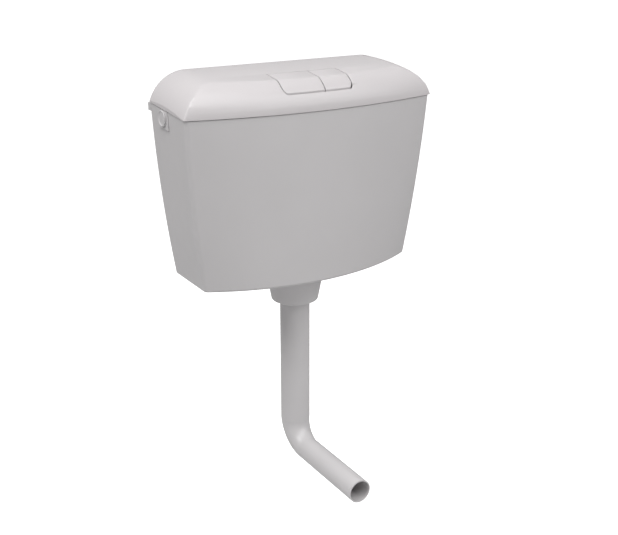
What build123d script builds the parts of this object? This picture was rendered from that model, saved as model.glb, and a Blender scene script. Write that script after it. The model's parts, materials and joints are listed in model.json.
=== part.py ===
from build123d import *
import math
import os

# Low-level plastic toilet cistern with two flush keys in its lid.
# Millimetres, +Z up, -Y towards the front. The shapes are drawn in the tank's own frame:
# x = 0 at the middle, y = 0 at the tank's back, z = 0 at the tank's underside. Each piece is
# moved once, as it is saved, so that the origin lies on the wall between the two wall screws.

# General values
overrun = 40.0
touch_gap = 0.3
half = 0.5
right_angle = 90.0
full_turn = 360.0
nut_flats = 6

# Tank: width, depth and height of the moulded shell
tank_top_width = 440.0
tank_taper = 60.0
tank_side_bulge = 4.4
tank_back_height = 283.6
tank_front_depth_top = 144.9
tank_bow_top = 22.3
tank_belly = 10.1
tank_bow_bottom = 50.8
side_x = tank_top_width * half
tank_bottom_width = tank_top_width - tank_taper
tank_corner_depth_top = tank_front_depth_top - tank_bow_top
tank_front_depth_bottom = tank_front_depth_top + tank_belly
tank_corner_depth_bottom = tank_front_depth_bottom - tank_bow_bottom
tank_corner_radius = 9.0
tank_foot_radius = 4.0
wall = 3.0
seam_slope = 0.0762
shadow_gap_height = 1.4
shadow_gap_depth = 1.0

# Inlet pads and holes, alike in both sides of the tank
inlet_y = -46.0
inlet_drop = 17.6
inlet_z = tank_back_height - inlet_drop
inlet_pad_width = 36.0
inlet_pad_height = 32.0
inlet_pad_proud = 0.4
inlet_hole_radius = 10.7
inlet_shank_radius = 10.0

# Lid: crowned top, rolled ends, front roll turned about a far vertical axis
lid_rise = 45.1
lid_back_height = tank_back_height + lid_rise
lid_crown_radius = 685.0
lid_end_radius = 64.5
lid_end_inset = 59.5
lid_end_centre_x = side_x - lid_end_inset
lid_barrel = 3.2
lid_barrel_depth = 62.0
lid_front_roll = 51.0
lid_front_overhang = 1.6
lid_front_depth = tank_front_depth_top + lid_front_overhang
lid_front_centre_drop = 11.0
lid_front_centre_z = tank_back_height - lid_front_centre_drop
lid_bow_radius = 1050.0
lid_overhang = 1.4
lid_wall = 3.0
lid_crest_angle = 74.0
lid_ledge = 2.6
lid_rib_depth = 7.0
lid_rib_wall = 2.0
lid_rib_play = 0.6
lid_rib_back_y = -28.0

# Key opening in the lid and the two keys that fill it
keys_left = -64.5
keys_right = 61.0
key_divider_x = 8.0
keys_length = 57.0
keys_front_margin = 7.5
keys_front_depth = lid_front_depth - keys_front_margin
keys_back_y = keys_length - keys_front_depth
key_corner_radius = 9.0
key_gap = 0.9
key_wall = 2.6
key_rib_width = 2.0
key_rib_drop = 4.0
hinge_setback = 7.0
hinge_drop = 17.7
hinge_y = keys_back_y - hinge_setback
hinge_z = lid_back_height - hinge_drop
key_rib_low_z = hinge_z - key_rib_drop
hinge_pin_radius = 1.5
hinge_play = 0.05
knuckle_radius = 4.2
knuckle_width = 9.0
finger_reach = 33.0
finger_y = hinge_y - finger_reach
finger_width = 8.0
finger_depth = 4.0
finger_x = 24.0
finger_gap = 0.4

# Tray under the lid that carries the hinge pin and the key springs
tray_floor_drop = 14.0
tray_wall = 2.5
tray_finger_gap = 10.0
tray_back_reach = 26.5
tray_back_rise = 4.5
tray_cheek_fall = 4.0
tray_side_gap = 1.5
tray_floor_z = hinge_z - tray_floor_drop
tray_front_y = finger_y + tray_finger_gap
tray_back_y = hinge_y + tray_back_reach
tray_top_z = hinge_z + tray_back_rise
tray_cheek_front_z = hinge_z - tray_cheek_fall
ear_width = 9.0
ear_thickness = 3.0
ear_drop = 5.0
ear_back_reach = 18.0
ear_front_reach = 14.0
ear_z = hinge_z - ear_drop
ear_rows = (hinge_y + ear_back_reach, hinge_y - ear_front_reach)
lid_boss_radius = 4.2
small_screw_radius = 1.5
small_screw_head_radius = 3.3
small_screw_head_height = 2.2
small_screw_length = 11.0
screw_play = 0.1
spring_reach = 16.0
spring_y = hinge_y - spring_reach
spring_radius = 4.4
spring_wire_radius = 0.45
spring_turns = 5
spring_turn_steps = 4
spring_seat_radius = 3.0
spring_gap_steps = 24
spring_top_gap = 0.7
spring_seat_height = 2.0

# Lid screw at the rear right, and the pillar in the tank that takes it
lid_screw_inset = 53.0
lid_screw_x = side_x - lid_screw_inset
lid_screw_y = -14.0
lid_screw_radius = 2.0
lid_screw_head_radius = 4.6
lid_screw_head_height = 3.0
lid_screw_slot_width = 1.2
lid_screw_recess_radius = 6.0
lid_screw_recess_depth = 5.0
lid_screw_reach = 27.6
lid_screw_end_z = tank_back_height - lid_screw_reach
lid_screw_boss_radius = 8.0
pillar_radius = 6.0
pillar_depth = 78.6
pillar_low_z = tank_back_height - pillar_depth
pillar_top_drop = 10.0
pillar_hole_play = 0.35
pillar_gap = 1.0

# Wall rail and the lower stand-offs
rail_depth = 10.0
rail_height = 12.0
rail_drop = 7.6
rail_centre_z = tank_back_height - rail_drop
rail_screw_spacing = 300.0
rail_screw_radius = 2.75
rail_spigot_radius = 4.6
rail_spigot_play = 0.15
rail_spigot_reach = 1.0
rail_pocket_depth = 7.0
rail_rib_wall = 2.4
rail_pockets = 12
buffer_radius = 12.0
buffer_spacing = 240.0
buffer_z = 45.0
buffer_dish = 1.5

# Blanking plug in the left inlet hole
plug_head_radius = 12.5
plug_head_height = 3.0
plug_rim_width = 1.6
plug_dish_depth = 1.1
plug_dish_radius = 9.3
plug_shank_length = 13.0
plug_bore_radius = 7.5
inlet_seal_radius = 13.5
inlet_seal_thickness = 2.5
plug_nut_across = 30.0
plug_nut_height = 6.0

# Outlet: tail, nut, collar and seals, all about the outlet axis
outlet_y = -56.0
tail_radius = 29.8
tail_bore_radius = 26.3
tail_low_z = -44.0
outlet_hole_play = 0.4
seat_flange_radius = 38.0
seat_flange_thickness = 4.0
seat_lip_radius = 25.0
seat_bore_radius = 22.5
seat_lip_height = 5.0
outlet_seal_thickness = 3.0
back_nut_across = 76.0
back_nut_height = 13.0
back_nut_low_gap = 0.6
collar_top_radius = 51.0
collar_side_radius = 39.3
collar_side_height = 62.0
collar_height = 71.5
collar_bottom_radius = 28.5
collar_edge_radius = 7.0
collar_top_gap = 0.5
collar_wall = 3.0
collar_boss_wall = 4.0
collar_boss_top_z = -22.0
collar_shoulder_z = -57.0
thread_play = 0.25
cone_seal_play = 0.1
cone_seal_chamfer = 2.2

# Flush pipe
pipe_radius = 25.3
pipe_leg_radius = 20.0
pipe_wall = 2.0
pipe_top_z = -20.0
pipe_bend_radius = 45.0
pipe_leg_z = -332.0
pipe_leg_length = 160.4
pipe_bend_steps = 4

# Flush valve: cage, neck, overflow tube and bell
cage_radius = 36.0
cage_wall = 2.6
cage_top_z = 82.0
cage_roof = 5.2
cage_window_corner_radius = 5.2
cage_window_low_z = 20.0
cage_window_top_z = 66.0
cage_windows = 6
cage_window_width = 25.0
neck_radius = 19.0
neck_bore_radius = 15.6
tube_radius = 14.0
tube_bore_radius = 12.0
tube_low_z = 12.0
bell_radius = 27.5
bell_rim = 2.6
bell_height = 14.0
valve_seal_radius = 27.0
valve_seal_thickness = 3.0
retainer_radius = 19.5
lift_ring_radius = 19.0
lift_ring_height = 8.0
lift_rod_radius = 2.4
lift_pin_radius = 3.0
lift_pin_length = 13.0
full_rod_x = -19.0
half_rod_x = 28.0
float_ring_radius = 34.0
float_ring_height = 38.0
float_ring_play = 0.5
float_ring_round = 4.0

# Bridge on the valve's neck, the axle and the two rockers
bridge_ring_radius = 23.0
bridge_ring_height = 16.0
bridge_plate_half = 38.0
bridge_plate_setback = 8.0
bridge_plate_depth = 24.0
bridge_plate_thickness = 4.0
cheek_wall = 3.0
cheek_boss_radius = 7.0
axle_setback = 18.0
axle_drop = 15.6
axle_y = finger_y + axle_setback
axle_z = tank_back_height - axle_drop
neck_drop = 72.0
tube_drop = 32.0
lift_ring_drop = 54.0
neck_top_z = axle_z - neck_drop
tube_top_z = axle_z - tube_drop
lift_ring_z = axle_z - lift_ring_drop
bridge_plate_front_y = axle_y + bridge_plate_setback
bridge_plate_back_y = bridge_plate_front_y + bridge_plate_depth
axle_radius = 2.5
axle_head_radius = 4.5
axle_head_height = 2.0
rocker_hub_radius = 5.5
rocker_play = 0.05
rocker_arm_thickness = 5.0
rocker_arm_width = 12.0
rocker_front_reach = 23.0
rocker_fork_overreach = 6.0
rocker_slot_lead = 6.0
rocker_slot_play = 0.8
rocker_inner_x = 3.0
rocker_outer_x = 33.0

# Fill valve at the right-hand inlet, with its float
inlet_tail_radius = 10.45
inlet_tail_reach = 29.0
inlet_tail_end_x = side_x + inlet_tail_reach
inlet_relief = 0.6
inlet_bore_radius = 6.0
fill_flange_thickness = 3.5
fill_nut_across = 26.0
fill_nut_height = 8.0
fill_barrel_radius = 12.5
fill_barrel_inset = 44.0
fill_barrel_end_x = side_x - fill_barrel_inset
fill_head_radius = 18.0
fill_head_length = 9.0
diaphragm_thickness = 2.2
diaphragm_radius = 15.5
cap_radius = 20.5
cap_length = 12.0
cap_wall = 2.2
cap_flutes = 16
cap_flute_radius = 1.6
arm_pivot_inset = 68.0
arm_pivot_rise = 18.0
arm_pivot_x = side_x - arm_pivot_inset
arm_pivot_z = inlet_z + arm_pivot_rise
arm_pin_radius = 1.5
arm_boss_radius = 4.2
arm_width = 9.0
arm_thickness = 5.0
arm_ear_thickness = 3.0
float_inset = 128.0
float_x = side_x - float_inset
float_screw_radius = 2.4
float_screw_rise = 16.0
float_drop = 52.0
float_socket_depth = 6.0
float_screw_top_z = arm_pivot_z + float_screw_rise
float_top_z = arm_pivot_z - float_drop
float_screw_low_z = float_top_z - float_socket_depth
float_height = 46.0
float_width = 44.0
float_depth = 48.0
float_wall = 1.8
float_corner_radius = 7.0
fill_tube_inset = 36.5
fill_tube_x = side_x - fill_tube_inset
fill_tube_radius = 6.5
fill_tube_bore = 5.2
fill_tube_low_z = 52.0
fill_spout_radius = 5.0

BASE = (Align.CENTER, Align.CENTER, Align.MIN)
PLACE = Pos(0, -rail_depth, -rail_centre_z)
OUTLET = Pos(0, outlet_y, 0)


def save(name, shape):
    """Moves a finished piece into the part's frame and writes it."""
    export_step(PLACE * shape, os.path.join("parts", name + ".step"))


def block(low, high):
    """Box between two opposite corners."""
    size = [b - a for a, b in zip(low, high)]
    return Pos(*low) * Box(*size, align=(Align.MIN, Align.MIN, Align.MIN))


def post(x, y, low, high, radius):
    """Upright cylinder between two heights."""
    return Pos(x, y, low) * Cylinder(radius, high - low, align=BASE)


def bar_x(start, end, y, z, radius):
    """Cylinder along X between two places."""
    return Pos(start, y, z) * Rot(0, right_angle, 0) * Cylinder(radius, end - start, align=BASE)


def turned(*points):
    """Profile of radius and height, turned about the outlet axis."""
    return OUTLET * revolve(Plane.XZ * Polygon(*points, align=None), Axis.Z)


def washer(inner, outer, low, high):
    """Plain ring about the outlet axis between two heights."""
    return turned((inner, low), (outer, low), (outer, high), (inner, high))


def hexagon_bar(across, length):
    return extrude(RegularPolygon(across * half, nut_flats, major_radius=False), length)


def seam_z(y):
    """Height of the sloping seam between tank and lid at depth y."""
    return tank_back_height + seam_slope * y


def tank_half_width(z):
    share = z / tank_back_height
    straight = (tank_bottom_width + (tank_top_width - tank_bottom_width) * share) * half
    return straight + tank_side_bulge * share * (1 - share) / (half * half)


def tank_depth(bottom, top, z):
    return bottom + (top - bottom) * z / tank_back_height


def tank_section(z, inset):
    """Plan of the tank at one height: flat back, straight sides, bowed front."""
    x = tank_half_width(z) - inset
    corner = -tank_depth(tank_corner_depth_bottom, tank_corner_depth_top, z) + inset
    front = -tank_depth(tank_front_depth_bottom, tank_front_depth_top, z) + inset
    back = -inset
    outline = Wire([
        Line((-x, back), (-x, corner)),
        ThreePointArc((-x, corner), (0, front), (x, corner)),
        Line((x, corner), (x, back)),
        Line((x, back), (-x, back)),
    ])
    face = make_face(outline)
    corners = face.vertices().sort_by(Axis.Y)[:2]
    return Pos(0, 0, z) * fillet(corners, tank_corner_radius - inset)


def tank_form(inset, bottom=0.0):
    """Solid of the tank's tapering form, taller than the seam."""
    top = tank_back_height + wall + wall
    heights = (bottom, (bottom + top) * half, top)
    return loft([tank_section(z, inset) for z in heights])


def slope_prism(z_back, above=True):
    """All space above, or below, a plane that slopes with the seam."""
    reach = tank_front_depth_bottom + overrun
    far = lid_back_height + overrun if above else -overrun
    outline = Polygon(
        (overrun, z_back + seam_slope * overrun),
        (-reach, z_back - seam_slope * reach),
        (-reach, far),
        (overrun, far),
        align=None,
    )
    return extrude(Plane.YZ * outline, tank_top_width, both=True)


def inlet_pads():
    """Flat pads that stand out of both tapering sides around the inlet holes."""
    x = side_x + inlet_pad_proud
    depth = wall + wall
    top = tank_back_height + wall
    bottom = inlet_z - inlet_pad_height * half
    front = inlet_y - inlet_pad_width * half
    pad = block((x - depth, front, bottom), (x, front + inlet_pad_width, top))
    return pad + mirror(pad, Plane.YZ)


def lid_screw_pillar():
    """Pillar on the back wall that the lid screw bites into."""
    top = seam_z(lid_screw_y) - pillar_top_drop
    pillar = post(lid_screw_x, lid_screw_y, pillar_low_z, top, pillar_radius)
    web = block(
        (lid_screw_x - pillar_radius * half, lid_screw_y, pillar_low_z),
        (lid_screw_x + pillar_radius * half, -wall * half, top),
    )
    hole_radius = lid_screw_radius + pillar_hole_play
    hole = post(lid_screw_x, lid_screw_y, lid_screw_end_z - wall, top + wall, hole_radius)
    return pillar + web - hole


def make_tank():
    outer = tank_form(0)
    foot = outer.edges().filter_by_position(Axis.Z, -touch_gap, touch_gap)
    outer = fillet(foot, tank_foot_radius) + inlet_pads()
    gap_plane = tank_back_height - shadow_gap_height
    rebate = slope_prism(gap_plane) - tank_form(shadow_gap_depth)
    shell = outer - tank_form(wall, wall) - slope_prism(tank_back_height) - rebate
    shell = shell + lid_screw_pillar()
    reach = tank_top_width
    shell = shell - bar_x(-reach, reach, inlet_y, inlet_z, inlet_hole_radius)
    shell = shell - post(0, outlet_y, -wall, wall + wall, tail_radius + outlet_hole_play)
    for x in (-rail_screw_spacing * half, rail_screw_spacing * half):
        hole = Cylinder(rail_spigot_radius + rail_spigot_play, overrun)
        shell = shell - Pos(x, 0, rail_centre_z) * Rot(right_angle, 0, 0) * hole
    return shell


def lid_drop(y):
    """How far the crowned top has fallen at depth y."""
    return lid_crown_radius - math.sqrt(lid_crown_radius ** 2 - y ** 2)


def lid_section(y, inset):
    """Upright section of the lid at depth y: flat top and two rolled ends."""
    drop = lid_drop(y)
    bulge = lid_barrel * (1 - ((y + lid_barrel_depth) / lid_barrel_depth) ** 2)
    centre_x = lid_end_centre_x + bulge
    centre_z = lid_back_height - lid_end_radius - drop
    radius = lid_end_radius - inset
    top = centre_z + radius
    low = centre_z - overrun
    side = centre_x + radius
    turn = radius * math.cos(math.radians(right_angle * half))
    outline = Wire([
        Line((-side, low), (side, low)),
        Line((side, low), (side, centre_z)),
        ThreePointArc((side, centre_z), (centre_x + turn, centre_z + turn), (centre_x, top)),
        Line((centre_x, top), (-centre_x, top)),
        ThreePointArc((-centre_x, top), (-centre_x - turn, centre_z + turn), (-side, centre_z)),
        Line((-side, centre_z), (-side, low)),
    ])
    return Plane.XZ.offset(-y) * make_face(outline)


def lid_front(inset):
    """Front roll of the lid: an arc and its tangent, turned about a far upright axis."""
    radius = lid_front_roll - inset
    centre_y = -lid_front_depth + lid_front_roll
    crest = math.radians(lid_crest_angle)
    middle = crest * half
    base_z = lid_front_centre_z
    arc_start = (centre_y - radius, base_z)
    arc_middle = (centre_y - radius * math.cos(middle), base_z + radius * math.sin(middle))
    arc_end = (centre_y - radius * math.cos(crest), base_z + radius * math.sin(crest))
    run = overrun - arc_end[0]
    tangent_end = (overrun, arc_end[1] + run / math.tan(crest))
    low = base_z - overrun
    outline = Wire([
        Line((arc_start[0], low), arc_start),
        ThreePointArc(arc_start, arc_middle, arc_end),
        Line(arc_end, tangent_end),
        Line(tangent_end, (overrun, low)),
        Line((overrun, low), (arc_start[0], low)),
    ])
    axis_y = lid_bow_radius - lid_front_depth
    axis = Axis((0, axis_y, 0), (0, 0, 1))
    angle = math.degrees(math.atan((tank_top_width + overrun) * half / (axis_y - overrun)))
    return revolve(Plane.YZ * make_face(outline), axis, 2 * angle).rotate(axis, -angle)


def lid_form(inset):
    """Solid of the lid's outer form, inset by a wall."""
    depths = (0, -lid_barrel_depth, -2 * lid_barrel_depth, -lid_front_depth - overrun * half)
    ends = loft([lid_section(y, inset) for y in depths])
    side = side_x + lid_overhang - inset
    depth = lid_front_depth + overrun
    slab = block((-side, -depth, 0), (side, -inset, lid_back_height + overrun))
    return ends & lid_front(inset) & slab


def keys_front_y(x, inset):
    """Front edge of the keys at place x, concentric with the lid's bow."""
    centre = lid_bow_radius - lid_front_depth
    radius = centre + keys_front_depth - inset
    return centre - math.sqrt(radius ** 2 - x ** 2)


def key_prism(left, right, inset, rounded_left=True, rounded_right=True):
    """Upright prism over a key or over the whole key opening."""
    low_x = left + inset
    high_x = right - inset
    middle = (low_x + high_x) * half
    back = keys_back_y - inset
    outline = Wire([
        Line((low_x, back), (low_x, keys_front_y(low_x, inset))),
        ThreePointArc(
            (low_x, keys_front_y(low_x, inset)),
            (middle, keys_front_y(middle, inset)),
            (high_x, keys_front_y(high_x, inset)),
        ),
        Line((high_x, keys_front_y(high_x, inset)), (high_x, back)),
        Line((high_x, back), (low_x, back)),
    ])
    face = make_face(outline)
    fronts = face.vertices().sort_by(Axis.Y)[:2].sort_by(Axis.X)
    if rounded_left:
        face = fillet(fronts[0], key_corner_radius - inset)
    if rounded_right:
        corner = face.vertices().sort_by_distance(fronts[1])[0]
        face = fillet(corner, key_corner_radius - inset)
    return extrude(Pos(0, 0, seam_z(0)) * face, lid_back_height)


def lid_boss_places():
    left = keys_left - tray_side_gap - tray_wall - ear_width * half
    right = keys_right + tray_side_gap + tray_wall + ear_width * half
    return [(x, y) for x in (left, right) for y in ear_rows]


def lid_bosses():
    """Bosses under the lid for the tray's screws and for the lid screw."""
    bosses = []
    for x, y in lid_boss_places():
        boss = post(x, y, ear_z + ear_thickness, lid_back_height, lid_boss_radius)
        bore = post(x, y, ear_z, ear_z + small_screw_length, small_screw_radius + screw_play)
        bosses.append(boss - bore)
    low = seam_z(lid_screw_y) - pillar_top_drop + pillar_gap
    bosses.append(post(lid_screw_x, lid_screw_y, low, lid_back_height, lid_screw_boss_radius))
    return bosses


def make_lid():
    outer = lid_form(0)
    ledge_z = tank_back_height + lid_ledge
    rib_inset = wall + lid_rib_play
    mouth = tank_form(rib_inset + lid_rib_wall)
    cavity = lid_form(lid_wall) & slope_prism(ledge_z)
    rib = tank_form(rib_inset) - mouth
    rib = rib & slope_prism(tank_back_height - lid_rib_depth) & slope_prism(ledge_z, above=False)
    side = tank_top_width
    rib = rib - bar_x(-side, side, inlet_y, inlet_z, inlet_seal_radius + touch_gap)
    front = block((-side, -tank_front_depth_bottom, 0), (side, lid_rib_back_y, ledge_z))
    shell = outer - slope_prism(tank_back_height, above=False) - cavity
    shell = shell - (mouth & slope_prism(ledge_z, above=False))
    shell = shell + (rib & front)
    inside = lid_form(lid_wall * half)
    for boss in lid_bosses():
        shell = shell + (boss & inside)
    shell = shell - key_prism(keys_left, keys_right, 0)
    top = lid_back_height + overrun
    recess_z = lid_back_height - lid_screw_recess_depth
    shell = shell - post(lid_screw_x, lid_screw_y, recess_z, top, lid_screw_recess_radius)
    hole_radius = lid_screw_radius + pillar_hole_play
    return shell - post(lid_screw_x, lid_screw_y, pillar_low_z, top, hole_radius)


def make_key(left, right, finger_place, round_left, round_right):
    """One flush key: curved shell, knuckles on the hinge pin, ribs and a finger."""
    prism = key_prism(left, right, key_gap, round_left, round_right)
    key = (lid_form(0) - lid_form(key_wall)) & prism
    inside = lid_form(key_wall * half)
    middle = (left + right) * half
    spread = (right - left) * half - key_corner_radius - key_gap
    for x in (middle - spread, middle + spread):
        start = x - knuckle_width * half
        knuckle = bar_x(start, start + knuckle_width, hinge_y, hinge_z, knuckle_radius)
        neck = block(
            (start, hinge_y - knuckle_radius, hinge_z),
            (start + knuckle_width, hinge_y + knuckle_radius * half, lid_back_height),
        )
        rib = block(
            (x - key_rib_width * half, -keys_front_depth + key_corner_radius, key_rib_low_z),
            (x + key_rib_width * half, hinge_y, lid_back_height),
        )
        key = key + knuckle + ((neck + rib) & inside)
    low = axle_z + finger_gap
    finger = block(
        (finger_place - finger_width * half, finger_y - finger_depth * half, low),
        (finger_place + finger_width * half, finger_y + finger_depth * half, lid_back_height),
    )
    toe = finger.edges().filter_by(Axis.X).group_by(Axis.Z)[0]
    finger = fillet(toe, finger_depth * half - screw_play)
    key = key + (finger & inside)
    return key - bar_x(left, right, hinge_y, hinge_z, hinge_pin_radius + hinge_play)


def spring_place(left, right):
    return (left + right) * half


def helix_point(x, turn, low, pitch):
    """Point and direction of the spring's centre line after so many turns."""
    angle = math.radians(full_turn * turn)
    point = Vector(
        x + spring_radius * math.cos(angle),
        spring_y + spring_radius * math.sin(angle),
        low + pitch * turn,
    )
    rise = pitch / (2 * math.pi)
    direction = Vector(-spring_radius * math.sin(angle), spring_radius * math.cos(angle), rise)
    return point, direction.normalized()


def spring_arcs(x, low, pitch):
    """Arcs of the spring's centre line: two tangent arcs in every step of a turn."""
    arcs = []
    for i in range(spring_turns * spring_turn_steps):
        start, leave = helix_point(x, i / spring_turn_steps, low, pitch)
        end, arrive = helix_point(x, (i + 1) / spring_turn_steps, low, pitch)
        chord = end - start
        lean = chord.dot(leave + arrive)
        spread = 2 * (1 - leave.dot(arrive))
        reach = (math.sqrt(lean ** 2 + spread * chord.dot(chord)) - lean) / spread
        middle = (start + leave * reach + end - arrive * reach) * half
        arcs.append(TangentArc(start, middle, tangent=leave))
        arcs.append(TangentArc(middle, end, tangent=middle - (start + leave * reach)))
    return arcs


def key_underside_z(y):
    """Height of the keys' underside at depth y, under the crown or the front roll."""
    crown = lid_back_height - lid_drop(y) - key_wall
    crest = math.radians(lid_crest_angle)
    radius = lid_front_roll - key_wall
    start_y = lid_front_roll - lid_front_depth - radius * math.cos(crest)
    start_z = lid_front_centre_z + radius * math.sin(crest)
    return min(crown, start_z + (y - start_y) / math.tan(crest))


def make_spring(left, right):
    """Spring between the tray's floor and the key's underside."""
    x = spring_place(left, right)
    low = tray_floor_z + tray_wall + touch_gap + spring_wire_radius
    high = key_underside_z(spring_y) - spring_top_gap - spring_wire_radius
    pitch = (high - low) / spring_turns
    centre_line = Wire(spring_arcs(x, low, pitch))
    start, direction = helix_point(x, 0, low, pitch)
    wire = sweep(Plane(origin=start, z_dir=direction) * Circle(spring_wire_radius), path=centre_line)
    print("spring: gap between turns", round(coil_gap(centre_line, pitch), 2), "mm")
    return wire


def coil_gap(centre_line, pitch):
    """Least distance between neighbouring turns, measured on points of the centre line."""
    count = spring_turns * spring_gap_steps
    points = [centre_line @ (i / count) for i in range(count + 1)]
    gaps = [
        (a - b).length
        for i, a in enumerate(points)
        for b in points[i + spring_gap_steps // 2:]
    ]
    return min(gaps) - 2 * spring_wire_radius


def make_hinge_pin():
    start = keys_left - tray_side_gap - tray_wall
    end = keys_right + tray_side_gap + tray_wall
    return bar_x(start, end, hinge_y, hinge_z, hinge_pin_radius)


def make_tray():
    """Tray under the lid: floor, back wall, three cheeks and four ears."""
    left = keys_left - tray_side_gap - tray_wall
    right = keys_right + tray_side_gap + tray_wall
    floor_top = tray_floor_z + tray_wall
    tray = block((left, tray_front_y, tray_floor_z), (right, tray_back_y, floor_top))
    back = block((left, tray_back_y - tray_wall, tray_floor_z), (right, tray_back_y, tray_top_z))
    tray = tray + back
    cheek = Plane.YZ * Polygon(
        (tray_front_y, tray_floor_z), (tray_back_y, tray_floor_z), (tray_back_y, tray_top_z),
        (hinge_y - knuckle_radius, tray_top_z), (tray_front_y, tray_cheek_front_z),
        align=None,
    )
    divider = key_divider_x - tray_wall * half
    for x in (left, divider, right - tray_wall):
        tray = tray + Pos(x, 0, 0) * extrude(cheek, tray_wall)
    for x, y in lid_boss_places():
        inner = left + tray_wall * half if x < 0 else right - tray_wall * half
        low_x = min(x, inner) - (ear_width * half if x < inner else 0)
        high_x = max(x, inner) + (ear_width * half if x > inner else 0)
        ear = block(
            (low_x, y - ear_width * half, ear_z),
            (high_x, y + ear_width * half, ear_z + ear_thickness),
        )
        tray = tray + ear
        tray = tray - post(x, y, tray_floor_z, lid_back_height, small_screw_radius + screw_play)
    for key_left, key_right in key_spans():
        x = spring_place(key_left, key_right)
        seat_top = floor_top + spring_seat_height
        tray = tray + post(x, spring_y, floor_top, seat_top, spring_seat_radius)
    pin_radius = hinge_pin_radius + hinge_play
    return tray - bar_x(left - wall, right + wall, hinge_y, hinge_z, pin_radius)


def key_spans():
    return ((keys_left, key_divider_x), (key_divider_x, keys_right))


def make_tray_screws():
    """Four small pan-head screws that hold the tray to the lid's bosses."""
    screws = []
    for x, y in lid_boss_places():
        head = post(x, y, ear_z - small_screw_head_height, ear_z, small_screw_head_radius)
        shank = post(x, y, ear_z, ear_z + small_screw_length - wall, small_screw_radius)
        screws.append(head + shank)
    return Compound(screws)


def make_lid_screw():
    top = lid_back_height - lid_screw_recess_depth
    head = post(lid_screw_x, lid_screw_y, top, top + lid_screw_head_height, lid_screw_head_radius)
    shank = post(lid_screw_x, lid_screw_y, lid_screw_end_z, top, lid_screw_radius)
    slot_low = top + lid_screw_head_height * half
    slot = block(
        (lid_screw_x - lid_screw_head_radius, lid_screw_y - lid_screw_slot_width * half, slot_low),
        (lid_screw_x + lid_screw_head_radius, lid_screw_y + lid_screw_slot_width * half, slot_low + wall),
    )
    return head + shank - slot


def make_rail():
    """Rail between the tank's back and the wall, with two spigots and rear pockets."""
    low = rail_centre_z - rail_height * half
    high = low + rail_height
    rail = block((-side_x, 0, low), (side_x, rail_depth, high))
    pitch = (tank_top_width - rail_rib_wall) / rail_pockets
    for i in range(rail_pockets):
        start = rail_rib_wall - side_x + i * pitch
        middle = start + (pitch - rail_rib_wall) * half
        if abs(abs(middle) - rail_screw_spacing * half) < pitch * half + rail_spigot_radius:
            continue
        pocket = block(
            (start, rail_depth - rail_pocket_depth, low + rail_rib_wall),
            (start + pitch - rail_rib_wall, rail_depth + overrun, high - rail_rib_wall),
        )
        rail = rail - pocket
    for x in (-rail_screw_spacing * half, rail_screw_spacing * half):
        reach = wall + rail_spigot_reach
        turn = Pos(x, 0, rail_centre_z) * Rot(right_angle, 0, 0)
        rail = rail + turn * Cylinder(rail_spigot_radius, reach, align=BASE)
        rail = rail - turn * Cylinder(rail_screw_radius, tank_front_depth_bottom)
    return rail


def make_buffers():
    """Two round stand-offs between the tank's lower back and the wall."""
    pads = []
    for x in (-buffer_spacing * half, buffer_spacing * half):
        turn = Pos(x, 0, buffer_z) * Rot(-right_angle, 0, 0)
        pad = turn * Cylinder(buffer_radius, rail_depth, align=BASE)
        rim = pad.edges().group_by(Axis.Y)[-1]
        pads.append(fillet(rim, buffer_dish))
    return Compound(pads)


def make_plug():
    """Blanking plug: dished head with a raised rim, hollow threaded shank."""
    face_x = side_x + inlet_pad_proud
    outer_x = face_x + plug_head_height
    profile = Polygon(
        (outer_x - plug_dish_depth, 0),
        (outer_x - plug_dish_depth, plug_dish_radius),
        (outer_x, plug_head_radius - plug_rim_width),
        (outer_x, plug_head_radius - plug_rim_width * half),
        (outer_x - plug_rim_width * half, plug_head_radius),
        (face_x, plug_head_radius),
        (face_x, inlet_shank_radius),
        (face_x - plug_shank_length, inlet_shank_radius),
        (face_x - plug_shank_length, plug_bore_radius),
        (face_x, plug_bore_radius),
        (face_x, 0),
        align=None,
    )
    plug = revolve(profile, Axis.X)
    return Pos(0, inlet_y, inlet_z) * mirror(plug, Plane.YZ)


def inner_wall_x():
    """Inner face of the tank's side at the inlet, where the wall is nearest."""
    return tank_half_width(inlet_z - inlet_seal_radius) - wall - touch_gap


def inlet_bar(start, end, radius):
    """Cylinder about the inlet axis between two places along X."""
    return bar_x(start, end, inlet_y, inlet_z, radius)


def make_inlet_seal(side):
    x = inner_wall_x()
    seal = inlet_bar(x - inlet_seal_thickness, x, inlet_seal_radius)
    seal = seal - inlet_bar(x - wall - wall, x + wall, inlet_shank_radius + screw_play)
    return seal if side > 0 else mirror(seal, Plane.YZ)


def nut_x(start, across, height, bore):
    flat_up = Rot(0, 0, full_turn / nut_flats * half)
    nut = Pos(start, inlet_y, inlet_z) * Rot(0, right_angle, 0) * flat_up * hexagon_bar(across, height)
    return nut - bar_x(start - wall, start + height + wall, inlet_y, inlet_z, bore)


def make_plug_nut():
    start = inner_wall_x() - inlet_seal_thickness - plug_nut_height
    nut = nut_x(start, plug_nut_across, plug_nut_height, inlet_shank_radius + screw_play)
    return mirror(nut, Plane.YZ)


def make_valve_seat():
    """Outlet of the flush valve: threaded tail, flange and raised seat lip."""
    low = wall + outlet_seal_thickness
    top = low + seat_flange_thickness
    lip = top + seat_lip_height
    return turned(
        (tail_bore_radius, tail_low_z), (tail_radius, tail_low_z), (tail_radius, low),
        (seat_flange_radius, low), (seat_flange_radius, top), (seat_lip_radius + wall, top),
        (seat_lip_radius, lip), (seat_bore_radius, lip), (seat_bore_radius, low),
        (tail_bore_radius, 0),
    )


def make_outlet_seal():
    inner = tail_radius + screw_play
    outer = seat_flange_radius - screw_play
    return washer(inner, outer, wall, wall + outlet_seal_thickness)


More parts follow.
